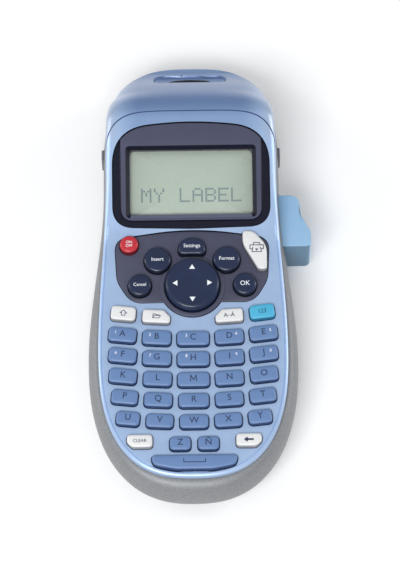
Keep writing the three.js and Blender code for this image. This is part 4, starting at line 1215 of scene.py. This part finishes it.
def icon(kind, material):
    if kind == "printer":
        tray = stroke("bar", [(-1.8, -0.6), (-2.9, -0.6), (-2.9, 1.2), (2.9, 1.2), (2.9, -0.6), (1.8, -0.6)],
                      0.34, material)
        paper = stroke("bar", [(-1.5, 1.4), (-1.2, 2.3), (1.2, 2.3), (1.5, 1.4)], 0.32, material)
        sheet = stroke("bar", [(-1.6, 0.2), (-2.1, -1.9), (2.1, -1.9), (1.6, 0.2)], 0.32, material)
        return tray + paper + sheet + [filled("tip", [(0, -1.5), (0.75, -0.5), (-0.75, -0.5)], material)]
    if kind == "house":
        return stroke("bar", [(0, 1.3), (1.45, 0.05), (0.75, 0.05), (0.75, -1.1), (-0.75, -1.1),
                              (-0.75, 0.05), (-1.45, 0.05)],
                      0.28, material, closed=True)
    if kind == "folder":
        outline = stroke("bar", [(-1.5, -0.9), (-1.5, 0.9), (-0.5, 0.9), (-0.2, 0.55), (1.2, 0.55)], 0.26,
                         material)
        return outline + stroke("bar", [(-1.5, -0.9), (-0.9, 0.2), (1.8, 0.2), (1.1, -0.9)], 0.26, material,
                                closed=True)
    if kind == "backspace":
        return [filled("arrow", [(-2.2, 0), (-0.8, -1.1), (-0.8, -0.4), (2.0, -0.4), (2.0, 0.4), (-0.8, 0.4),
                                 (-0.8, 1.1)], material)]
    return stroke("bar", [(-4.6, 0.9), (-4.6, -0.6), (4.6, -0.6), (4.6, 0.9)], 0.34, material)


def legend(name, parts, height, body, turn=0.0, x=0.0, y=0.0, frame_matrix=None):
    """Joins a legend's parts, lays them on a key at a height and lets them ride with it."""
    made = joined(name, parts)
    made.data.transform(Matrix.Translation(Vector((x, y, height - LEGEND_DEPTH + LEGEND_RISE)) * MM)
                        @ Matrix.Rotation(turn, 4, "Z"))
    moved(made, frame_matrix or KEYS)
    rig.ride(made, body)
    return made


# %% [markdown]
# ## Keys
# A key is its outline lifted through a skirt that keeps it in, a straight side and a rounded edge. The
# round edge is what catches the light along the top and leaves the lower side dark, so it gets most of the
# rings. Steep faces take a darker copy of the key's colour, a painted shade. A letter sits just above the
# middle of its key, and the first two rows have a small digit beside it.

# %% Key bodies and legends
EDGE = [(-1.35, 0), (-1.0, -0.05), (-0.72, -0.16), (-0.48, -0.34), (-0.28, -0.6), (-0.12, -0.92),
        (-0.02, -1.3)]
STEEP = 0.55
NARROW_SKIRT, WIDE_SKIRT = 0.4, 0.75
LETTER_SIZE, WORD_SIZE = 3.9, 1.75
LETTER_SHIFT = (0, 0.35)
LEGEND_SHIFTS = {"print_key": (0.9, 0.9), "space_key": (0, 0.3)}
LETTER_M = [(-1.25, -1.3), (-1.15, 1.3), (0, -0.7), (1.15, 1.3), (1.25, -1.3)]
DIGIT = dict(out=2.9, up=0.75, size=1.9)
CLOSE_KEYS = ("power_key", "settings_key", "insert_key", "format_key", "print_key", "cancel_key", "ok_key",
              "clear_key", "backspace_key", "space_key")
KEY_SLOTS = {LETTER_KEY.name: "letter_key", WHITE_KEY.name: "white_key", TEAL_KEY.name: "teal_key",
             RED_KEY.name: "red_key", NAVY_KEY.name: "navy_key"}

for k in ALL_KEYS:
    skirt = NARROW_SKIRT if k["name"] in CLOSE_KEYS else WIDE_SKIRT
    steps = [(-3.5, skirt), (-2.62, skirt), (-2.6, 0)] + [(k["height"] + z, gap) for z, gap in EDGE]
    cap = profile(k["name"] + "_cap", turned(k["outline"], **k["place"]), steps, k["finish"], KEYS, 60)
    # Steep faces take the painted shade copy of the key's colour.
    cap.data.materials.append(PAINTED_SHADE_SIDES[k["finish"].name])
    for face in cap.data.polygons:
        face.material_index = 1 if face.normal.z < STEEP else 0
    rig.replaces(cap, k["name"])
    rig.slot(cap, KEY_SLOTS[k["finish"].name])
    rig.ride(cap, k["name"])

    ink = INK_LIGHT if k["finish"] in (NAVY_KEY,
                                       RED_KEY) else INK_TEAL if k["finish"] == TEAL_KEY else INK_DARK
    if "icon" in k and k["icon"] != "power":
        parts = icon(k["icon"], ink)
    elif k.get("text") == "M":
        parts = stroke("bar", LETTER_M, 0.36, ink)
    else:
        words = k.get("text", "ON\nOFF")
        plain_size = WORD_SIZE if len(words) > 1 else LETTER_SIZE
        parts = [flat_text("words", words, k.get("size", plain_size), ink)]
    plain_shift = LETTER_SHIFT if len(k.get("text", "")) == 1 else (0, 0)
    shift = LEGEND_SHIFTS.get(k["name"], plain_shift)
    place = dict(k["place"])
    place["x"] += shift[0]
    place["y"] += shift[1]
    legend(k["name"] + "_legend", parts, k["height"], k["name"], frame_matrix=KEYS, **place)
    if k.get("digit"):
        place["x"] += DIGIT["out"] * k["digit_side"]
        place["y"] += DIGIT["up"]
        figure = flat_text("digit", k["digit"], DIGIT["size"], INK_LIGHT)
        legend(k["name"] + "_digit", [figure], k["height"], k["name"], frame_matrix=KEYS, **place)
print("key caps:", len(ALL_KEYS))


# %% [markdown]
# ## Navigation pad and control panel
# The pad is a broad round cap with a shallow dish, so its light arrows sit a little below its rim. The
# panel behind the round keys is one graphite plate with a raised collar round the pad.

# %% Navigation pad
NAV_STEPS = [(-4.2, 0.65), (-3.42, 0.65), (-3.4, 0), (2.7, 0), (3.3, -0.1), (3.75, -0.32), (4.1, -0.7),
             (4.3, -1.2),
             (4.4, -1.9), (4.36, -2.6), (4.28, -4), (4.18, -6), (4.12, -8.5), (4.1, -11)]
pad = profile("navigation_cap", circle(11.75, 128), NAV_STEPS, NAVY_KEY, KEYS, 50)
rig.replaces(pad, "navigation_pad")
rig.slot(pad, "navy_key")
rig.ride(pad, "navigation_pad")

arrows = []
for quarter in range(4):
    arrow = filled("arrow", [(1.25, -0.85), (0, 1.25), (-1.25, -0.85)], INK_LIGHT)
    arrow.data.transform(Matrix.Rotation(quarter * math.pi / 2, 4, "Z")
                         @ Matrix.Translation(Vector((0, 7.3, 0)) * MM))
    arrows.append(arrow)
legend("navigation_arrows", arrows, 4.31, "navigation_pad", frame_matrix=KEYS)

pivot = profile("navigation_post", circle(2.6, 32),
                [(-5.3, 0), (-4.85, 0), (-4.65, -0.2), (-4.53, -0.6), (-4.5, -1.1)], RUBBER, KEYS)
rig.replaces(pivot, "navigation_pivot")
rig.slot(pivot, "rubber")
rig.ride(pivot, "navigation_pivot")

# %% Control panel
panel = profile("panel_plate", panel_outline(), [(-2.2, 0), (-0.3, 0), (-0.12, -0.06), (0, -0.26)], GRAPHITE,
                KEYS)
collar = profile("collar", circle(COLLAR_RADIUS - 0.1, 128),
                 [(-2.2, 0), (0.3, 0), (0.48, -0.1), (0.6, -0.34)], GRAPHITE, KEYS)
cut(panel, [collar], "UNION")
nav_hole = profile("nav_hole", circle(12.15, 128), [(-4, 0), (0.25, 0), (0.61, 0.35), (3, 0.4)], GRAPHITE,
                   KEYS)
cut(panel, [nav_hole])
# The key holes in the panel get black walls: painted shade.
panel_holes = [prism("hole", grown(turned(k["outline"], **k["place"]), KEY_GAP), -4, 3, BLACK_AND_PAINTED_SHADE, KEYS)
               for k in ALL_KEYS if k["y"] >= PANEL_FOOT - 1]
cut(panel, [joined("panel_tool", panel_holes)])
tidy(panel, 32)
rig.replaces(panel, "control_panel")
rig.slot(panel, "graphite")
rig.ride(panel, "case")
print("control panel faces:", len(panel.data.polygons))


# %% [markdown]
# ## Display
# The bezel is a graphite plate whose sides and foot drop to a glossy navy band, painted darker as shade. Its
# opening slopes down to the window: three sides are painted near-black as shade, and the fourth, nearest the
# keys, is painted lighter as lit.

# %% Bezel
bezel = profile("bezel_plate", bezel_outline(),
                [(-3.3, 0), (-0.95, 0), (-0.62, -0.1), (-0.4, -0.32), (-0.3, -0.65)], BEZEL_GREY, DISPLAY)
band = profile("band_tool", grown(bezel_outline(), 1), [(-0.85, 0), (2, 0)], BEZEL_NAVY_PAINTED_SHADE, DISPLAY)
face_zone = rounded([(30.9, 30, 1), (-30.9, 30, 1), (-30.6, -20.3, 5.5), (30.6, -20.3, 5.5)], 12)
cut(band, [profile("face_zone", face_zone, [(-2, 0.9), (-0.8, 0.5), (-0.3, -0.1), (3, -0.1)], BEZEL_NAVY_PAINTED_SHADE,
                   DISPLAY)])
cut(bezel, [band])
opening = profile("opening_tool", screen_outline(0), [(-4, -1.6), (-1.8, -1.6), (-0.3, 0), (0.5, 0.85)],
                  BEZEL_NAVY_PAINTED_SHADE, DISPLAY)
# Walls facing the keys take the painted light, the other walls the painted shade.
opening.data.materials.append(BEZEL_PAINTED_LIGHT)
foot = (DISPLAY @ Vector((0, SCREEN["bottom"] + 2.2, -1))).y * MM
for face in opening.data.polygons:
    facing_keys = face.center.y < foot and abs(face.center.x) < 26.8 * MM
    face.material_index = 1 if facing_keys else 0
cut(bezel, [opening])
tidy(bezel, 28)
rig.replaces(bezel, "display_bezel")
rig.slot(bezel, "graphite_gloss")
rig.ride(bezel, "case")

# %% [markdown]
# Under the window lies a dark mask with round corners, then the liquid-crystal glass. Its words are a grid
# of square dots: the letters' bitmaps give the dots' places, and Geometry Nodes puts one small tile on
# each.

# %% Window, mask and glass
window = profile("window", rectangle(61, 36, 1, 0, -3), [(-4.8, -0.15), (-4.7, 0), (-3.7, 0), (-3.6, -0.15)],
                 WINDOW, DISPLAY)
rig.replaces(window, "display_lens")
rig.slot(window, "clear_window")
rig.ride(window, "case")

mask = profile("display_mask", rectangle(60.8, 35.8, 1, 0, -3), [(-5.06, 0), (-4.9, 0)], BLACK_AND_PAINTED_SHADE, DISPLAY)
cut(mask, [profile("mask_tool", rectangle(53.6, 28.6, 2.6, 0, -3.0), [(-6, 0), (-4, 0)], BLACK_AND_PAINTED_SHADE, DISPLAY)])
tidy(mask)
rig.ride(mask, "case")

glass = profile("display_glass", rectangle(61, 36, 0.6, 0, -3),
                [(-7.9, 0), (-5.35, 0), (-5.25, -0.5), (-5.15, -0.5), (-5.1, -0.6)], LCD, DISPLAY)
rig.replaces(glass, "lcd_panel")
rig.slot(glass, "lcd")
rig.ride(glass, "case")

# %% Dot matrix words
GLYPHS = {
    "M": "10001 11011 10101 10101 10001 10001 10001", "Y": "10001 10001 01010 00100 00100 00100 00100",
    "L": "10000 10000 10000 10000 10000 10000 11111", "A": "01110 10001 10001 11111 10001 10001 10001",
    "B": "11110 10001 10001 11110 10001 10001 11110", "E": "11111 10000 10000 11110 10000 10000 11111",
}
DOT_PITCH = (0.94, 0.9)


def dot_places(words, left, top):
    """The middle of every dark dot, in the display's millimetres."""
    for n, letter in enumerate(words):
        for r, row in enumerate(GLYPHS.get(letter, "").split()):
            for c, dark in enumerate(row):
                if dark == "1":
                    yield (left + (n * 6 + c) * DOT_PITCH[0], top - r * DOT_PITCH[1], 0)


def dot_tree():
    tree, given, out = new_tree("dots", {"Dot Size": "Vector", "Material": "Material"})
    tile = add_node(tree, "GeometryNodeMeshCube", {"Size": given.outputs["Dot Size"]})
    tiles = add_node(tree, "GeometryNodeInstanceOnPoints",
                     {"Points": given.outputs["Geometry"], "Instance": tile.outputs[0]})
    real = add_node(tree, "GeometryNodeRealizeInstances", {"Geometry": tiles.outputs[0]})
    painted = add_node(tree, "GeometryNodeSetMaterial",
                       {"Geometry": real.outputs[0], "Material": given.outputs["Material"]})
    tree.links.new(painted.outputs[0], out.inputs[0])
    return tree


DOTS = dot_tree()


def on_points(name, places, size, material, height, frame_matrix):
    """One tile of `size` on each place, lifted to a height, all in millimetres."""
    made = bpy.data.objects.new(name, bpy.data.meshes.new(name))
    bpy.context.collection.objects.link(made)
    made.data.from_pydata([Vector(p) * MM for p in places], [], [])
    modifier = made.modifiers.new(name, "NODES")
    modifier.node_group = DOTS
    values = {"Dot Size": Vector(size) * MM, "Material": material}
    for item in DOTS.interface.items_tree:
        if item.in_out == "INPUT" and item.name in values:
            modifier[item.identifier] = values[item.name]
    final_mesh(made)
    made.data.transform(Matrix.Translation((0, 0, height * MM)))
    return moved(made, frame_matrix)


words = on_points("display_words", dot_places("MY LABEL", -21.6, -5.6), (0.8, 0.76, 0.05), DOT_INK, -5.07,
                  DISPLAY)
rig.ride(words, "case")
print("display words:", len(words.data.polygons) // 6, "dots")


# %% [markdown]
# ## Cutter
# The button is a fat lever with a waist for the thumb. Behind it run the plate that keeps it in, the arm
# that passes in front of the cassette bay, and the holder with the blade.

# %% Cutter button and blade
BLADE_ALONG = 63.2
FACING_TAIL = 0.7
button_outline = rounded([(35.4, 12, 0), (52.4, 12, 3), (52.4, 19.4, 6), (48.2, 27.5, 8), (47.5, 37.3, 5),
                          (35.4, 37.3, 0)], 10)
BUTTON_STEPS = [(7, -0.6), (7.1, -0.36), (7.35, -0.14), (7.8, 0), (27.2, 0), (27.5, -0.05), (27.75, -0.16),
                (27.92, -0.34), (28, -0.6)]
button = profile("cutter_grip", button_outline, BUTTON_STEPS, LIGHT_BLUE, sharp=50)
# Faces turned to the tail take the painted shade.
button.data.materials.append(BUTTON_END_PAINTED_SHADE)
for face in button.data.polygons:
    face.material_index = 1 if face.normal.y < -FACING_TAIL else 0
flange = box("flange", 33.2, 35.5, 10.4, 38.9, 13, 25.5, LIGHT_BLUE, edge=0.4)
arm_outline = rounded([(35.2, -6, 0), (35.2, 8, 3), (31, 36, 4), (17, BLADE_ALONG, 0), (3, BLADE_ALONG, 0),
                       (3, BLADE_ALONG - 2.2, 0),
                       (13, BLADE_ALONG - 2.2, 2), (27, 34, 4), (31, 0, 0), (31, -6, 0)], 6)
arm = profile("arm", arm_outline, [(23.2, 0), (24.6, 0), (24.8, -0.2)], LIGHT_BLUE, HEAD)
holder = box("holder", 3, 6.4, BLADE_ALONG - 1.4, BLADE_ALONG + 1.4, 5.4, 24.2, LIGHT_BLUE, HEAD, edge=0.3)
button = joined("cutter_lever", [button, flange, arm, holder])
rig.replaces(button, "cutter_button")
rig.slot(button, "light_blue")
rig.ride(button, "cutter")

edge_outline = [Vector(p) for p in ((2.7, BLADE_ALONG - 0.4), (2.7, BLADE_ALONG + 0.4),
                                    (1.9, BLADE_ALONG + 0.4), (1.2, BLADE_ALONG), (1.9, BLADE_ALONG - 0.4))]
blade = profile("blade", edge_outline, [(5.4, 0), (19, 0)], STEEL, HEAD, 20)
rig.replaces(blade, "cutter_blade")
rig.slot(blade, "steel")
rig.ride(blade, "cutter")


# %% [markdown]
# ## Print mechanism
# The head presses the tape on the rubber roller. The roller's gear meshes with the motor's pinion behind
# the bay's floor. The head block has cooling fins, set out with the same ribs as the doors.

# %% Print head
head_block = box("head_block", -5.2, -1.1, 50.4, 57.6, 4.5, 21, ALUMINIUM, HEAD, edge=0.3)
head_face = box("head_face", -5.4, -0.3, 52.4, 55.6, 5, 19, STEEL, HEAD, edge=0.3)
fins = ribs("fins", (-5.8, 54, 6), (0, 0, 1.9), (1.2, 6.8, 0.8), 8, ALUMINIUM, 0.12, HEAD)
head_unit = joined("print_head_block", [head_block, head_face, fins])
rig.replaces(head_unit, "print_head")
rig.slot(head_unit, "aluminium")
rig.ride(head_unit, "case")

# %% Roller, gears and motor
GEAR_MODULE = 0.75
PLATEN = (3.9, 54)
GEAR_ANGLE = -math.pi / 3
GEAR_DISTANCE = 9.12
PINION = (PLATEN[0] + GEAR_DISTANCE * math.cos(GEAR_ANGLE), PLATEN[1] + GEAR_DISTANCE * math.sin(GEAR_ANGLE))


def gear_outline(teeth, x, y, phase):
    """A spur gear with flanks of three points, drawn round (x, y)."""
    pitch = GEAR_MODULE * teeth / 2
    root, outer = pitch - 1.15 * GEAR_MODULE, pitch + 0.85 * GEAR_MODULE
    flank = [(root, -0.27), (pitch, -0.19), (outer, -0.09), (outer, 0.09), (pitch, 0.19), (root, 0.27)]
    step = 2 * math.pi / teeth
    return [Vector((x + r * math.cos(i * step + phase + t * step), y
                    + r * math.sin(i * step + phase + t * step)))
            for i in range(teeth) for r, t in flank]


roller = profile("roller", circle(3.6, 48, *PLATEN), [(5, -0.3), (5.3, 0), (18.7, 0), (19, -0.3)], RUBBER,
                 HEAD)
shaft = profile("shaft", circle(1.5, 24, *PLATEN), [(4, -0.25), (4.25, 0), (26.25, 0), (26.5, -0.25)], STEEL,
                HEAD)
wheel = profile("wheel", gear_outline(16, *PLATEN, GEAR_ANGLE), [(23.3, 0), (26, 0)], GEAR, HEAD, 25)
roller = joined("platen", [roller, shaft, wheel])
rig.replaces(roller, "platen_roller")
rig.slot(roller, "rubber")
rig.ride(roller, "platen")

pinion_phase = GEAR_ANGLE + math.pi + math.pi / 8
pinion = profile("pinion_wheel", gear_outline(8, *PINION, pinion_phase), [(23.3, 0), (26.3, 0)], GEAR, HEAD,
                 25)
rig.replaces(pinion, "motor_pinion")
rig.slot(pinion, "gear")
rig.ride(pinion, "pinion")

px, py = PINION
can = profile("can", circle(6.4, 64, px, py),
              [(26.6, -0.4), (27.0, 0), (33.5, 0), (33.9, -0.4), (34, -0.8), (34, -4.2)], STEEL, HEAD)
ears = box("ears", px - 9.5, px + 9.5, py - 2.5, py + 2.5, 26.6, 27.8, STEEL, HEAD, edge=0.4)
motor = joined("motor_can", [can, ears])
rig.replaces(motor, "motor")
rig.slot(motor, "steel")
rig.ride(motor, "case")

# %% [markdown]
# ## Circuit board
# The board lies behind the keys. Keys within 28 mm of the middle line, below the power and settings keys
# and above the space bar, have a gold pad under them, and the chips on the far side have rows of legs.

# %% Board with pads and chips
board_outline = rectangle(66, 106, 22, 0, -27.8, 12)
board = profile("board_plate", board_outline, [(-7.2, 0), (-5.65, 0), (-5.6, -0.05)], BOARD, KEYS)
pads = [tuple(k["place"][a] for a in "xy") + (0,) for k in ALL_KEYS if k["y"] < 6]
gold = on_points("pads", [p for p in pads if abs(p[0]) < 28 and -78 < p[1] < 20], (5, 3.6, 0.04), GOLD, -5.6,
                 KEYS)
chips = []
for x, y, w, h in [(-14, -40, 12, 12), (12, -30, 9, 14), (-16, 6, 16, 8), (14, -62, 10, 6)]:
    chips.append(box("chip", x - w / 2 + 0.8, x + w / 2 - 0.8, y - h / 2, y + h / 2, -8.6, -7.15, BLACK_AND_PAINTED_SHADE,
                     KEYS))
    for side in (-1, 1):
        first = (x + side * (w / 2 - 0.45), y - h / 2 + 0.8, -7.5)
        chips.append(ribs("legs", first, (0, 1.27, 0), (0.9, 0.5, 0.7), int((h - 1.2) / 1.27) + 1, STEEL,
                          0.06, KEYS))
board = joined("circuit_plate", [board, gold] + chips)
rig.replaces(board, "circuit_board")
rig.slot(board, "board")
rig.ride(board, "case")
print("board faces:", len(board.data.polygons))


# %% [markdown]
# ## Tape cassette
# The cassette lies in the head behind its door: a grey shell with a hub, a window slot on the supply side
# and a paper label with the tape's width.

# %% Cassette
def turned_over(made, height):
    """Turns a legend over, to be read from the back, and sets its face at a height."""
    made.data.transform(Matrix.Translation(Vector((0, 0, height)) * MM) @ Matrix.Rotation(math.pi, 4, "Y"))
    return made


shell_outline = rounded([(26, 50, 4), (-26, 50, 4), (-26, -4, 9), (26, -4, 9)], 10)
shell = profile("cassette_shell", shell_outline,
                [(3.5, -0.6), (3.7, -0.25), (4.1, 0), (19.9, 0), (20.3, -0.25), (20.5, -0.6)], CASSETTE, HEAD)
hub_hole = profile("hub_hole", circle(5, 48, 0, 20), [(2, 0), (22, 0)], CASSETTE, HEAD)
notch = box("notch", -8, -2, 42, 51, 2, 22, CASSETTE, HEAD)
# The supply window's walls are black: painted shade.
supply = profile("supply_window", rectangle(9, 3, 1.4, -14, 32), [(2, 0.4), (3.5, 0.2), (4.3, 0)], BLACK_AND_PAINTED_SHADE,
                 HEAD)
cut(shell, [hub_hole, notch, supply])
tidy(shell, 32)

spool = profile("spool", circle(4.6, 48, 0, 20), [(4.4, 0), (19.4, 0)], INK_LIGHT, HEAD)
bore = profile("bore", gear_outline(6, 0, 20, 0), [(2, 0.6), (22, 0.6)], INK_LIGHT, HEAD)
cut(spool, [bore])
paper = profile("paper_label", rectangle(34, 12, 1, 0, 5), [(3.44, 0), (3.56, 0)], INK_LIGHT, HEAD)
width_words = turned_over(flat_text("tape_words", "12 mm", 5.2, INK_DARK), 3.5)
width_words.data.transform(Matrix.Translation(Vector((0, 5, 0.1)) * MM))
moved(width_words, HEAD)
shell = joined("cassette_body", [shell, spool, paper, width_words])
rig.replaces(shell, "tape_cassette")
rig.slot(shell, "cassette")
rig.ride(shell, "case")


# %% [markdown]
# ## Batteries
# Four cells lie side by side, turned end for end in turn. Each has a printed sleeve with a coloured band, a
# steel end and the small cap of its positive pole. Sprung contacts bridge the cells at both ends of the
# bay.

# %% Cells and springs
LIE_DOWN = Matrix.Rotation(-math.pi / 2, 4, "X")
CELL_Z = 9.9
CELL_TAIL, CELL_LENGTH, CELL_PITCH = -75, 50.5, 14.7


def lathe(name, steps, material, sides=48):
    """A turned solid along +Z from (z, radius) pairs."""
    outer = max(r for z, r in steps)
    return profile(name, circle(outer, sides), [(z, r - outer) for z, r in steps], material)


def cell(i):
    sleeve = lathe("sleeve", [(0.25, 6.5), (0.35, 7.0), (0.6, 7.12), (48.7, 7.12), (49.1, 7.0), (49.2, 6.4)],
                   CELL_SLEEVE)
    stripe = lathe("stripe", [(36, 7.1), (36.05, 7.15), (47.6, 7.15), (47.65, 7.1)], CELL_BAND)
    ends = lathe("ends", [(0, 5.6), (0.1, 6), (0.3, 6.1), (49.0, 6.3), (49.3, 6.0), (49.3, 2.9),
                          (50.2, 2.75), (50.5, 2.4)], STEEL)
    made = joined("cell", [sleeve, stripe, ends])
    if i % 2:
        made.data.transform(Matrix.Translation((0, 0, CELL_LENGTH * MM)) @ Matrix.Rotation(math.pi, 4, "X"))
    place = Vector(((i - 1.5) * CELL_PITCH, CELL_TAIL, CELL_Z)) * MM
    made.data.transform(Matrix.Translation(place) @ LIE_DOWN)
    return made


def strap(i, y):
    x = (i - 1) * CELL_PITCH
    return box("strap", x - CELL_PITCH / 2 - 3, x + CELL_PITCH / 2 + 3, y, y + 0.8, CELL_Z - 3, CELL_Z + 3,
               STEEL)


cell_end = CELL_TAIL + CELL_LENGTH
cells = joined("cells", [cell(i) for i in range(4)]
               + [strap(0, cell_end), strap(1, CELL_TAIL - 0.8), strap(2, cell_end)])
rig.replaces(cells, "battery_set")
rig.slot(cells, "cell_sleeve")
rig.ride(cells, "case")


SPRING_STEPS = 16


def spring(x, y, length, turns=3, radius=2.6):
    steps = turns * SPRING_STEPS
    path = []
    for t in range(steps + 1):
        angle = 2 * math.pi * t / SPRING_STEPS
        path.append((x + radius * math.cos(angle), y + length * t / steps, CELL_Z + radius * math.sin(angle)))
    return tube("spring", path, 0.22, STEEL, 6)


springs = joined("contact_springs", [spring((i - 1.5) * CELL_PITCH, CELL_TAIL - 2.1, 0.9) for i in (0, 3)])
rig.ride(springs, "case")


# %% [markdown]
# ## The back
# Between the doors the back is closed by four screws in round wells and carries the rating plate, both
# recessed.

# %% Screws and rating plate
SCREWS = [(-24, 12), (24, 12), (-24, -12), (24, -12)]
cut(rear, [joined("wells", [profile("well", circle(3, 32, x, y), [(-1, 0), (1.5, 0)], GREY) for x,
                            y in SCREWS])])
cut(rear, [profile("plate_recess", rectangle(34, 20, 1.5, 0, 0), [(-1, 0), (0.3, 0)], GREY)])
tidy(rear, 32)


def screw(x, y):
    """A cross-head screw, its face towards the back."""
    head_disc = profile("screw", circle(2.5, 32, x, y), [(0.7, -0.5), (0.8, -0.2), (1.0, 0), (1.5, 0)], STEEL)
    # The cross recesses are black: painted shade.
    crosses = [box("cross", x - a, x + a, y - b, y + b, 0.5, 1.1, BLACK_AND_PAINTED_SHADE) for a,
               b in ((1.5, 0.28), (0.28, 1.5))]
    return cut(head_disc, crosses)


screws = joined("screws", [screw(x, y) for x, y in SCREWS])
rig.ride(screws, "case")

plate = profile("rating_plate", rectangle(33.6, 19.6, 1.4, 0, 0), [(0.12, -0.05), (0.15, 0), (0.31, 0)],
                PLATE, sharp=50)
lines = [("LABEL MAKER", 2.6, 6), ("6 V  4 x AA", 2.2, 2), ("12 mm tape", 2.2, -1.6),
         ("0.6 kg   0-40 C", 1.8, -5.2)]
prints = []
for text_line, size, y in lines:
    made = turned_over(flat_text("line", text_line, size, INK_DARK), 0.22)
    made.data.transform(Matrix.Translation(Vector((0, y, 0.02)) * MM))
    prints.append(made)
plate = joined("rating_plate", [plate] + prints)
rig.ride(plate, "case")
print("pieces:", len(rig.table()["pieces"]))


# %% [markdown]
# ## Floor and sizes
# A wide pale floor lies a hair under the back. It belongs to the picture only, so it is staged. The box of
# the solids and the box of the finished pieces are written out, to be compared.

# %% Floor
FLOOR_HALF = 3000
FLOOR_DROP = 0.0002
FLOOR = moulded("floor_pale", tone("f4f4f5"), tone("fafafa"), 0.8, 0.05, 20, Emission_Color=tone("ffffff"),
                Emission_Strength=0.06)
floor = piece("floor", [(-FLOOR_HALF, -FLOOR_HALF, 0), (FLOOR_HALF, -FLOOR_HALF, 0),
                        (FLOOR_HALF, FLOOR_HALF, 0),
                        (-FLOOR_HALF, FLOOR_HALF, 0)], [(0, 1, 2, 3)], FLOOR)
floor.location.z = -FLOOR_DROP
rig.stage(floor)

# %% Sizes
VISUAL_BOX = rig.bounds()
with open("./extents.json", "w") as f:
    json.dump({"cad": [list(c) for c in CAD_BOX], "visual": [list(c) for c in VISUAL_BOX]}, f)
print("visual box, m:", [tuple(round(v, 4) for v in corner) for corner in VISUAL_BOX])
